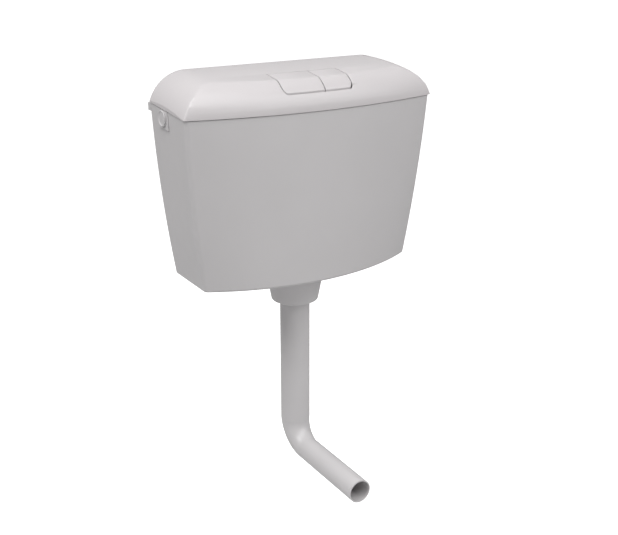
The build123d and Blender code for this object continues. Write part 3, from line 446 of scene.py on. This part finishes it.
slab_half = END_CENTRE + END_ROLL
lid_form = box_piece(
    "lid_form", (-slab_half, SLAB_FRONT, FORM_LOW), (slab_half, SLAB_BACK, LID_TOP))
pick(lid_form, lambda x, y, z: abs(x) > END_CENTRE and z > LID_TOP - NEAR, "EDGE")
bpy.ops.mesh.bevel(
    offset=END_ROLL * MM, segments=36, profile=0.5, affect="EDGES", clamp_overlap=False)
leave()
rings = range(SLAB_FRONT + RING_STEP, SLAB_BACK, RING_STEP)
for ring in rings:
    cut(lid_form, (0, ring, 0), (0, 1, 0))
for ring in (SLAB_FRONT, *rings, SLAB_BACK):
    for side in (-1, 1):
        pick(
            lid_form,
            lambda x, y, z: abs(y - ring) < TINY and side * x > 0 and z > FORM_LOW + NEAR)
        shift = Vector((side * end_swell(ring), 0, -crown_drop(ring))) * MM
        bpy.ops.transform.translate(value=shift)
        leave()
cut(lid_form, (0, 0, 0), (0, 1, 0), "front", True)
for side in (-1, 1):
    cut(lid_form, (side * LID_SIDE, 0, 0), (side, 0, 0), "front", True)
print("slab points", len(lid_form.data.vertices))

# %% Front roll, spun twice
FRONT_DEPTH = 146.5
FRONT_ROLL = 51.0
FRONT_CENTRE_Z = 272.6
CREST = math.radians(74)
BOW = 1050.0
BOW_TURN = math.radians(31)
BEHIND = 40.0
axis_y = BOW - FRONT_DEPTH

bpy.ops.object.select_all(action="DESELECT")
bpy.ops.mesh.primitive_plane_add(size=MM)
front_roll = named("front_roll")
select_all_of(front_roll)
bpy.ops.mesh.merge(type="CENTER")
bpy.ops.transform.translate(value=(0, -BOW * MM, FRONT_CENTRE_Z * MM))
roll_centre = (0, (FRONT_ROLL - BOW) * MM, FRONT_CENTRE_Z * MM)
bpy.ops.mesh.spin(steps=24, angle=CREST, center=roll_centre, axis=(1, 0, 0))
run = BEHIND + FRONT_DEPTH - FRONT_ROLL * (1 - math.cos(CREST))
rise = run / math.tan(CREST)
drop = FRONT_CENTRE_Z + FRONT_ROLL * math.sin(CREST) + rise - FORM_LOW
under, up = -BEHIND - FRONT_DEPTH, FRONT_CENTRE_Z - FORM_LOW
for step in ((0, run, rise), (0, 0, -drop), (0, under, 0), (0, 0, up)):
    bpy.ops.mesh.extrude_region_move(TRANSFORM_OT_translate={"value": Vector(step) * MM})
bpy.ops.mesh.select_all(action="SELECT")
bpy.ops.mesh.remove_doubles(threshold=TINY * MM)
bpy.ops.mesh.spin(steps=56, angle=BOW_TURN, center=(0, 0, 0), axis=(0, 0, 1))
bpy.ops.mesh.select_all(action="SELECT")
bpy.ops.mesh.fill_holes(sides=0)
leave()
lean = sum(corner.co.x for corner in front_roll.data.vertices)
front_roll.rotation_euler.z = -math.copysign(BOW_TURN / 2, lean)
front_roll.location = spot(0, axis_y, 0)
settle(front_roll)
tidy(front_roll)
first_point = [round(v, 1) for v in measures(front_roll.data.vertices[0].co)]
print("front roll points", len(front_roll.data.vertices), "first", first_point)

# %% Cross the two forms
boolean(lid_form, front_roll, "INTERSECT")
tidy(lid_form)
plain_form = copied(lid_form, "plain_form")
form_size = [round(v / MM, 1) for v in lid_form.dimensions]
print("lid form points", len(lid_form.data.vertices), "box", form_size)

# %% [markdown]
# ## Soft mitres
#
# The crease along the top stays crisp, but the mould's corners are soft, with a radius of about
# 5 mm. Even cuts give the surface round each mitre faces of one size, so that the round has no
# lumps. The faces beside it are divided once more, and the points close to it are smoothed
# against their neighbours, which rounds the mitre and leaves the rest of the surface alone.
# A bevel would do this on one clean edge, but the mitre is a chain of short edges that fades out
# at its top. The form from before this step is kept, because exact cuts go best on plain faces.

# %% Find the two mitres
MITRE_BEND = math.radians(9)
MITRE_LOW = 262.0
MITRE_PARTS = 8
FACES_FRONT, FACES_END = -0.3, 0.25


def normals_beside(piece):
    """The normals of the faces at each edge, by the edge's two points."""
    beside = {}
    for face in piece.data.polygons:
        for key in face.edge_keys:
            beside.setdefault(key, []).append(face.normal.copy())
    return beside


def mitre_points(piece):
    """Points along both mitres: edges between an end roll and the front roll."""
    mesh = piece.data
    beside = normals_beside(piece)
    points = []
    for key, normals in beside.items():
        if len(normals) != 2 or normals[0].angle(normals[1], 0) < MITRE_BEND:
            continue
        end, front = sorted(normals, key=lambda normal: -abs(normal.x))
        a, b = (mesh.vertices[i].co for i in key)
        above = min(a.z, b.z) > spot(0, 0, MITRE_LOW).z
        if front.y < FACES_FRONT and abs(end.x) > FACES_END and above:
            points += [a.lerp(b, part / MITRE_PARTS) for part in range(MITRE_PARTS + 1)]
    return points


along_mitres = mitre_points(lid_form)
mitre_tree = KDTree(len(along_mitres))
for index, place in enumerate(along_mitres):
    mitre_tree.insert(place, index)
mitre_tree.balance()
print("mitre points", len(along_mitres))

# %% Even cuts across both corners
CUT_OFFSET = 0.37
CUT_DEPTHS = range(-145, -112, 3)
CUT_HEIGHTS = range(260, 302, 4)

for depth in CUT_DEPTHS:
    cut(lid_form, (0, depth + CUT_OFFSET, 0), (0, 1, 0))
for height in CUT_HEIGHTS:
    cut(lid_form, (0, 0, height + CUT_OFFSET), (0, 0, 1))
print("lid form points", len(lid_form.data.vertices))

# %% Divide and smooth the mitres
MITRE_REACH = 4.5
MITRE_DIVIDED = 8.0


def near_mitre(reach):
    """Test for places that lie within reach of a mitre."""
    return lambda x, y, z: mitre_tree.find(spot(x, y, z))[2] < reach * MM


close = near_mitre(MITRE_DIVIDED)
select_none_of(lid_form, "FACE")
for face in lid_form.data.polygons:
    corners = [lid_form.data.vertices[i].co for i in face.vertices]
    face.select = any(close(*measures(corner)) for corner in corners)
enter()
bpy.ops.mesh.quads_convert_to_tris()
bpy.ops.mesh.subdivide(number_cuts=1)
leave()
pick(lid_form, near_mitre(MITRE_REACH))
bpy.ops.mesh.vertices_smooth(factor=0.5, repeat=10)
leave()
print("lid form points", len(lid_form.data.vertices))

# %% [markdown]
# ## Crisp lines kept crisp
#
# The crease bends by only six degrees, so shading by angle alone would wash it out, and a lower
# angle would break up the soft mitres. The edges of the crease and of the flat at each end are
# marked sharp by the way that their faces look, and all else under thirty degrees is smooth.

# %% Mark the crease and the flat ends
CREASE_BEND = math.radians(3.5)
FACES_SIDE, FACES_UP = 0.9999, 0.9
RUNS_ACROSS = 0.6


def mark_crisp(piece):
    """Marks the edges where the crown meets the front roll, and round the flat ends."""
    beside = normals_beside(piece)
    select_none_of(piece, "EDGE")
    mesh = piece.data
    count = 0
    for edge in mesh.edges:
        normals = beside.get(edge.key, [])
        if len(normals) != 2 or normals[0].angle(normals[1], 0) < CREASE_BEND:
            continue
        start, end = (mesh.vertices[i].co for i in edge.vertices)
        across = abs((start - end).normalized().y) < RUNS_ACROSS
        flat = max(abs(normal.x) for normal in normals) > FACES_SIDE
        high = min(normal.z for normal in normals) > FACES_UP
        if flat or (high and across):
            edge.select = True
            count += 1
    enter()
    bpy.ops.mesh.mark_sharp()
    leave()
    return count


print("crisp edges", mark_crisp(lid_form))

# %% [markdown]
# ## The lid's shell
#
# The lid is the form with its own inset copy taken out above a narrow ledge. A rib under the
# ledge drops into the tank's mouth, small bosses take the key carrier's screws, and a pillar at
# the rear right takes the lid screw, whose head sits in a round recess. Scaling a form down
# would thin its wall at the ends, so the inset copy comes from Solidify, which moves every face
# by the same amount, and the outer skin is then deleted.

# %% Copy moved inwards


def shrunk(piece, name, inset):
    """Copy of a closed piece with every face moved inwards by the same amount."""
    copy = copied(piece, name)
    outer_points = len(copy.data.vertices)
    apply_modifier(
        copy, "SOLIDIFY", thickness=inset * MM, offset=-1,
        use_even_offset=True, use_quality_normals=True)
    select_none_of(copy, "VERT")
    for point in copy.data.vertices:
        point.select = point.index < outer_points
    enter()
    bpy.ops.mesh.delete(type="VERT")
    leave()
    tidy(copy)
    return copy


# %% Block with a bowed front
FACET, FEWEST_FACETS = 8.0, 4


def bowed_prism(
        name, left, right, back, radius, low, high, corner, rounded=(True, True), axis=axis_y):
    """Upright block whose front is an arc about an upright axis, with rounded front corners."""
    count = max(FEWEST_FACETS, round((right - left) / FACET))
    start = axis - radius - NEAR
    prism = box_piece(name, (left, start, low), (right, back, high))
    places = [left + (right - left) * step / count for step in range(count + 1)]
    for x in places[1:-1]:
        cut(prism, (x, 0, 0), (1, 0, 0))
    for place in places:
        pick(prism, lambda x, y, z: abs(x - place) < TINY and y < start + NEAR)
        front = axis - math.sqrt(radius ** 2 - place ** 2)
        bpy.ops.transform.translate(value=(0, (front - start) * MM, 0))
        leave()
    for side, is_rounded in zip((left, right), rounded):
        if is_rounded:
            pick(prism, lambda x, y, z: abs(x - side) < TINY and y < back - NEAR, "EDGE")
            bpy.ops.mesh.bevel(
                offset=corner * MM, segments=10, affect="EDGES", clamp_overlap=False)
            leave()
    tidy(prism)
    return prism


# %% Hollow the lid and cut its mouth
SEAM_Z = 283.6
SEAM_SLOPE = 0.0762
LID_WALL = 3.0
LEDGE = 2.6
RIB_WALL = 2.0
MOUTH_HALF = 216.4
MOUTH_FRONT = 141.3
MOUTH_BOW = 1096.0
MOUTH_BACK = -6.0
MOUTH_CORNER = 4.0
OVERRUN = 20.0
seam_normal = Vector((0, -SEAM_SLOPE, 1)).normalized()

lid_shell = copied(lid_form, "lid_shell")
cut(lid_shell, (0, 0, SEAM_Z), seam_normal, "behind", True)
hollow = shrunk(plain_form, "lid_hollow", LID_WALL)
form_width, hollow_width = lid_form.dimensions.x / MM, hollow.dimensions.x / MM
print("form width", round(form_width, 2), "hollow width", round(hollow_width, 2))
cut(hollow, (0, 0, SEAM_Z + LEDGE), seam_normal, "behind", True)
boolean(lid_shell, hollow, "DIFFERENCE")


def mouth(name, inset, low, high, back):
    """Upright block as wide as the tank's mouth, less an inset at its sides and front."""
    half = MOUTH_HALF - inset
    axis = MOUTH_BOW - MOUTH_FRONT
    return bowed_prism(
        name, -half, half, back, MOUTH_BOW - inset, low, high, MOUTH_CORNER, axis=axis)


opening = mouth("mouth", RIB_WALL, SEAM_Z - 2 * OVERRUN, SEAM_Z + LEDGE, MOUTH_BACK)
boolean(lid_shell, opening, "DIFFERENCE")
print("lid shell points", len(lid_shell.data.vertices))

# %% Rib that drops into the tank
RIB_DEPTH = 7.0
RIB_BACK = -28.0
INLET_Y, INLET_Z = -46.0, 266.0
NOTCH, NOTCH_REACH = 13.8, 230.0

rib = mouth("rib", 0, SEAM_Z - 2 * OVERRUN, SEAM_Z + OVERRUN, RIB_BACK)
rib_inside = mouth(
    "rib_inside", RIB_WALL, SEAM_Z - 3 * OVERRUN, SEAM_Z + 2 * OVERRUN, 2 * OVERRUN)
boolean(rib, rib_inside, "DIFFERENCE")
cut(rib, (0, 0, SEAM_Z - RIB_DEPTH), seam_normal, "behind", True)
cut(rib, (0, 0, SEAM_Z + LEDGE / 2), seam_normal, "front", True)
notch = rod_piece(
    "notch", (-NOTCH_REACH, INLET_Y, INLET_Z), (NOTCH_REACH, INLET_Y, INLET_Z), NOTCH)
boolean(rib, notch, "DIFFERENCE")
print("rib points", len(rib.data.vertices))

# %% Bosses under the lid
KEYS_LEFT, KEYS_RIGHT = -64.5, 61.0
EAR_TOP = 309.0
BOSS_RADIUS, BOSS_BESIDE = 4.2, 8.5
BOSS_BACK, BOSS_FRONT = -71, -103
BORE_RADIUS, BORE_BELOW, BORE_DEPTH = 1.6, 3.0, 8.0
SCREW_X, SCREW_Y = 167.0, -14.0
PILLAR_RADIUS, PILLAR_FOOT = 8.0, 273.5
ROUND_SIDES = 56
RISE_OVER = 5.0
above_lid = LID_TOP + RISE_OVER

boss_places = [
    (x, y) for x in (KEYS_LEFT - BOSS_BESIDE, KEYS_RIGHT + BOSS_BESIDE)
    for y in (BOSS_BACK, BOSS_FRONT)
]
bosses = [
    rod_piece("boss", (x, y, EAR_TOP), (x, y, above_lid), BOSS_RADIUS) for x, y in boss_places
]
pillar_foot, pillar_top = (SCREW_X, SCREW_Y, PILLAR_FOOT), (SCREW_X, SCREW_Y, above_lid)
bosses.append(rod_piece("boss", pillar_foot, pillar_top, PILLAR_RADIUS, ROUND_SIDES))
boss_limit = shrunk(plain_form, "boss_limit", LID_WALL / 2)
for boss in bosses:
    boolean(boss, copied(boss_limit, "limit"), "INTERSECT")
bpy.data.objects.remove(boss_limit)
bosses = joined(*bosses)
for x, y in boss_places:
    start, end = (x, y, EAR_TOP - BORE_BELOW), (x, y, EAR_TOP + BORE_DEPTH)
    boolean(bosses, rod_piece("bore", start, end, BORE_RADIUS), "DIFFERENCE")
print("bosses", len(boss_places), "and a pillar, points", len(bosses.data.vertices))

# %% Key opening and screw recess
KEYS_BACK, KEYS_MARGIN = -82.0, 7.5
KEY_CORNER = 9.0
RECESS_RADIUS, RECESS_DEPTH = 6.0, 5.0
SCREW_HOLE_RADIUS, SCREW_HOLE_LOW, SCREW_HOLE_OVER = 2.35, 250.0, 9.0
keys_front = FRONT_DEPTH - KEYS_MARGIN
keys_bow = axis_y + keys_front

key_opening = bowed_prism(
    "key_opening", KEYS_LEFT, KEYS_RIGHT, KEYS_BACK, keys_bow,
    SEAM_Z + LEDGE, LID_TOP + OVERRUN, KEY_CORNER)
boolean(lid_shell, key_opening, "DIFFERENCE")
screw_top = (SCREW_X, SCREW_Y, LID_TOP + SCREW_HOLE_OVER)
recess_floor = (SCREW_X, SCREW_Y, LID_TOP - RECESS_DEPTH)
recess = rod_piece("recess", recess_floor, screw_top, RECESS_RADIUS, ROUND_SIDES)
recess_below = copied(recess, "recess_below")
boolean(lid_shell, recess, "DIFFERENCE")
screw_hole = rod_piece(
    "screw_hole", (SCREW_X, SCREW_Y, SCREW_HOLE_LOW), screw_top, SCREW_HOLE_RADIUS)
boolean(lid_shell, copied(screw_hole, "shell_hole"), "DIFFERENCE")
boolean(bosses, recess_below, "DIFFERENCE")
boolean(bosses, screw_hole, "DIFFERENCE")
joined(lid_shell, rib, bosses)
shell_size = [round(v / MM, 1) for v in lid_shell.dimensions]
print("lid shell points", len(lid_shell.data.vertices), "box", shell_size)

# %% [markdown]
# ## The flush keys
#
# Each key is a plate cut from the same form, so its surface runs on from the lid's without a
# step. Its groove is the gap round it. Under the plate there are two knuckles for the hinge pin,
# a rib at each knuckle and the finger that presses the rocker. They are cut off half way into
# the plate, so that nothing pokes through it. A key that is modelled apart would have to be
# fitted to two curves at once. Exact cuts leave every face pointing outwards, so the directions
# aren't worked out again: on a thin curved plate that can turn the whole skin inside out.

# %% Plate that both keys are cut from
KEY_WALL = 2.6

key_plate = copied(plain_form, "key_plate")
boolean(key_plate, shrunk(plain_form, "key_hollow", KEY_WALL), "DIFFERENCE")
print("key plate points", len(key_plate.data.vertices))

# %% Hinge pieces and finger under a key
HINGE_Y, HINGE_Z = -89.0, 311.0
KNUCKLE, KNUCKLE_WIDTH = 4.2, 9.0
KEY_RIB_HALF, KEY_RIB_BELOW, KEY_RIB_SETBACK = 1.0, 4.0, 9.0
FINGER_Y, FINGER_LOW = -122.0, 268.4
FINGER_HALF_WIDTH, FINGER_HALF_DEPTH, FINGER_ROUND = 4.0, 2.0, 1.8


def key_finger(finger_x):
    """Finger that presses the rocker, with the long edges of its tip rounded."""
    finger = box_piece(
        "finger", (finger_x - FINGER_HALF_WIDTH, FINGER_Y - FINGER_HALF_DEPTH, FINGER_LOW),
        (finger_x + FINGER_HALF_WIDTH, FINGER_Y + FINGER_HALF_DEPTH, above_lid))

    def on_tip(x, y, z):
        """Whether a place lies on a long edge of the finger's tip."""
        return z < FINGER_LOW + NEAR and abs(abs(y - FINGER_Y) - FINGER_HALF_DEPTH) < TINY

    pick(finger, on_tip, "EDGE")
    bpy.ops.mesh.bevel(offset=FINGER_ROUND * MM, segments=5, affect="EDGES")
    leave()
    return finger


def hinge_pieces(x):
    """Neck, rib and knuckle that carry one end of a key."""
    start, end = x - KNUCKLE_WIDTH / 2, x + KNUCKLE_WIDTH / 2
    neck_low, neck_high = HINGE_Y - KNUCKLE, HINGE_Y + KNUCKLE / 2
    rib_start = (x - KEY_RIB_HALF, KEY_RIB_SETBACK - keys_front, HINGE_Z - KEY_RIB_BELOW)
    return [
        box_piece("neck", (start, neck_low, HINGE_Z), (end, neck_high, above_lid)),
        box_piece("rib", rib_start, (x + KEY_RIB_HALF, HINGE_Y, above_lid)),
        rod_piece("knuckle", (start, HINGE_Y, HINGE_Z), (end, HINGE_Y, HINGE_Z), KNUCKLE),
    ]


# %% A whole key
KEY_GAP = 1.7
PIN_HOLE_RADIUS, PIN_HOLE_SIDES = 1.55, 24


def make_key(name, left, right, finger_x, rounded):
    """Key plate between two sides of the key opening, with its hinge pieces and finger."""
    low, high = left + KEY_GAP, right - KEY_GAP
    prism = bowed_prism(
        f"{name}_prism", low, high, KEYS_BACK - KEY_GAP, keys_bow - KEY_GAP,
        SEAM_Z, LID_TOP + OVERRUN, KEY_CORNER - KEY_GAP, rounded)
    key = copied(key_plate, name)
    boolean(key, prism, "INTERSECT")
    middle, reach = (left + right) / 2, (right - left) / 2 - KEY_CORNER - KEY_GAP
    parts = [key_finger(finger_x)]
    for x in (middle - reach, middle + reach):
        parts += hinge_pieces(x)
    limit = shrunk(plain_form, "key_limit", KEY_WALL / 2)
    pin_ends = (left, HINGE_Y, HINGE_Z), (right, HINGE_Y, HINGE_Z)
    for part in parts:
        pin = rod_piece("pin", *pin_ends, PIN_HOLE_RADIUS, PIN_HOLE_SIDES)
        boolean(part, copied(limit, "limit"), "INTERSECT")
        boolean(part, pin, "DIFFERENCE")
        close_slivers(part)
    bpy.data.objects.remove(limit)
    joined(key, *parts)
    return key


# %% Both keys
KEY_MIDDLE, FINGER_X = 8.0, 24.0

full_key = make_key(
    "full_key_dressed", KEYS_LEFT, KEY_MIDDLE + KEY_GAP / 2, -FINGER_X, (True, False))
half_key = make_key(
    "half_key_dressed", KEY_MIDDLE - KEY_GAP / 2, KEYS_RIGHT, FINGER_X, (False, True))
for key in (full_key, half_key):
    key_size = [round(v / MM, 1) for v in key.dimensions]
    print(key.name, "box", key_size, "points", len(key.data.vertices))

# %% [markdown]
# ## Soft rims
#
# Moulded edges are never knife sharp. The rim of each key and of the opening round it gets a
# narrow round, which draws the thin light line beside the dark groove. A bevel by angle would
# also take the seam and the mouth, so the edges are picked by place, and by having an upright
# wall on one side and the outer surface on the other.

# %% Round the rims
RIM = 0.3
RIM_LOW = 290.0
UPRIGHT, OUTWARD = 0.05, 0.4


def round_rim(piece, box_low, box_high):
    """Rounds the edges between the outer surface and the upright walls within a box."""
    beside = normals_beside(piece)
    select_none_of(piece, "EDGE")
    mesh = piece.data
    count = 0
    for edge in mesh.edges:
        normals = beside.get(edge.key, [])
        if len(normals) != 2:
            continue
        low, high = sorted(normals, key=lambda normal: normal.z)
        ends = [measures(mesh.vertices[i].co) for i in edge.vertices]
        within = all(box_low[k] < end[k] < box_high[k] for end in ends for k in range(3))
        if within and abs(low.z) < UPRIGHT and high.z > OUTWARD:
            edge.select = True
            count += 1
    enter()
    bpy.ops.mesh.bevel(offset=RIM * MM, segments=3, affect="EDGES", clamp_overlap=False)
    leave()
    return count


rim_low = (KEYS_LEFT - NEAR, -keys_front - NEAR, RIM_LOW)
rim_high = (KEYS_RIGHT + NEAR, KEYS_BACK + NEAR, LID_TOP + NEAR)
for piece in (lid_shell, full_key, half_key):
    print(piece.name, "rim edges", round_rim(piece, rim_low, rim_high))

# %% Dress the lid and the keys
for piece, body, node, slot in (
    (lid_shell, "lid", "lid", "lid_plastic"),
    (full_key, "full_key", "full_flush_key", "key_plastic"),
    (half_key, "half_key", "half_flush_key", "key_plastic"),
):
    close_slivers(piece)
    print(piece.name, "crisp edges", mark_crisp(piece))
    smooth(piece, degrees=30)
    piece.data.materials.clear()
    piece.data.materials.append(finishes[slot])
    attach(piece, body)
    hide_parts(node)
for leftover in (lid_form, plain_form, key_plate):
    bpy.data.objects.remove(leftover)

# %% [markdown]
# ## Key springs
#
# Each spring stands on the key carrier and is pressed by its key, so it shortens as the key goes
# down. Here each one is a copy of the imported spring, with its points merged and its faces shaded
# smoothly, and it is carried with the lid. A spring left as it is would stick out through the
# pressed key.

# %% Spring copies carried with the lid
for node, joint in (("full_key_spring", "full_key_press"), ("half_key_spring", "half_key_press")):
    spring = copied(nodes[node], f"{node}_dressed")
    tidy(spring)
    smooth(spring, degrees=40)
    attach(spring, "lid")
    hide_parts(node)
    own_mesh(spring)

# %% [markdown]
# ## The collar's foot
#
# In the photo the cone under the collar's rounded corner is shallow. A new collar could be spun
# from an outline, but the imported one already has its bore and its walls. A copy of its mesh is
# merged first, because the triangles are loose, and all points of its foot are then drawn up
# towards the corner in one step, which keeps the cone straight.

# %% Draw up the collar's foot
OUTLET_Y, COLLAR_CORNER = -56, -60.0
FOOT_SHARE = 0.45

collar = copied(nodes["outlet_collar"], "outlet_collar_dressed")
tidy(collar)
pick(collar, lambda x, y, z: z < COLLAR_CORNER)
foot_centre = spot(0, OUTLET_Y, COLLAR_CORNER)
bpy.ops.transform.resize(
    value=(1, 1, FOOT_SHARE), orient_type="GLOBAL", center_override=foot_centre)
leave()
tidy(collar)
smooth(collar, degrees=30)
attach(collar, "cistern")
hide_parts("outlet_collar")
foot_z = min(measures(point.co)[2] for point in collar.data.vertices)
print("collar foot at", round(foot_z, 1))

# %% [markdown]
# ## Floor, light and camera
#
# The cistern hangs in the air with nothing drawn behind it, so the floor lies where a bathroom's
# would: about 330 mm under the pan's inlet, which the level leg of the pipe feeds. It shows white
# to the camera, and throws a little light back up at the tank's foot. Three broad lamps do the
# rest: the strongest stands high on the left, one faces the front from above, and a low one on
# the right opens the shadows. The world fills in evenly, is brighter where it is mirrored, and
# shows white to the camera.

# %% Floor
FLOOR_Z = -0.94
FLOOR_HALF = 30.0
FLOOR_LEVEL = 0.68
bpy.ops.object.select_all(action="DESELECT")
bpy.ops.mesh.primitive_plane_add(size=2 * FLOOR_HALF, location=(0, 0, FLOOR_Z))
floor = settle(named("floor"))


def white_to_the_eye(name, level):
    """Matte grey surface that glows for the camera alone, so that it reads as white."""
    material, tree, shader = new_material(name)
    shader.inputs["Base Color"].default_value = (level, level, level, 1)
    shader.inputs["Roughness"].default_value = 0.9
    shader.inputs["Emission Color"].default_value = (1, 1, 1, 1)
    seen = tree.nodes.new("ShaderNodeLightPath").outputs["Is Camera Ray"]
    tree.links.new(seen, shader.inputs["Emission Strength"])
    return material


floor.data.materials.append(white_to_the_eye("pale floor", FLOOR_LEVEL))
print("floor at", FLOOR_Z, "m, half width", FLOOR_HALF, "m")

# %% World
WORLD_LEVEL = 0.19
MIRRORED_LEVEL = 0.38
world = bpy.data.worlds.new("studio")
bpy.context.scene.world = world
world.use_nodes = True
world_nodes, world_links = world.node_tree.nodes, world.node_tree.links
background = world_nodes["Background"]
background.inputs["Color"].default_value = (1, 1, 1, 1)
path = world_nodes.new("ShaderNodeLightPath")
mirrored = world_nodes.new("ShaderNodeMapRange")
mirrored.inputs["To Min"].default_value = WORLD_LEVEL
mirrored.inputs["To Max"].default_value = MIRRORED_LEVEL
world_links.new(path.outputs["Is Glossy Ray"], mirrored.inputs["Value"])
level = world_nodes.new("ShaderNodeMath")
level.operation = "MAXIMUM"
world_links.new(path.outputs["Is Camera Ray"], level.inputs[0])
world_links.new(mirrored.outputs["Result"], level.inputs[1])
world_links.new(level.outputs[0], background.inputs["Strength"])
print("world", WORLD_LEVEL, "and", MIRRORED_LEVEL, "where mirrored")

# %% Lamps
LAMP_TARGET = (0, -0.08, -0.15)
LAMP_SIZE = 2.2


def broad_lamp(name, place, power):
    """Square area lamp that faces the middle of the cistern."""
    lamp = bpy.data.lights.new(name, "AREA")
    lamp.shape = "SQUARE"
    lamp.size = LAMP_SIZE
    lamp.energy = power
    holder = bpy.data.objects.new(name, lamp)
    bpy.context.scene.collection.objects.link(holder)
    holder.location = place
    direction = Vector(LAMP_TARGET) - Vector(place)
    holder.rotation_euler = direction.to_track_quat("-Z", "Y").to_euler()
    print(name, "at", place, "with", power, "W")


broad_lamp("front lamp", (-0.5, -1.5, 2.5), power=48)
broad_lamp("left lamp", (-2.2, 0.1, 2.4), power=70)
broad_lamp("low lamp", (1.4, -2.4, 1.6), power=36)

# %% Camera
CAMERA_PLACE = (-0.792, -1.4105, 0.272)
CAMERA_DOWN = 19.602
CAMERA_YAW = 31.391
LENS, SENSOR = 57.29, 36.0
camera = bpy.data.objects.new("camera", bpy.data.cameras.new("camera"))
bpy.context.scene.collection.objects.link(camera)
camera.location = CAMERA_PLACE
camera.rotation_euler = Euler((math.radians(90 - CAMERA_DOWN), 0, -math.radians(CAMERA_YAW)))
camera.data.lens = LENS
camera.data.sensor_width = SENSOR
bpy.context.scene.camera = camera
bpy.context.scene.view_settings.view_transform = "Standard"
print("camera at", CAMERA_PLACE, "lens", LENS)

# %% Update the scene
bpy.context.view_layer.update()
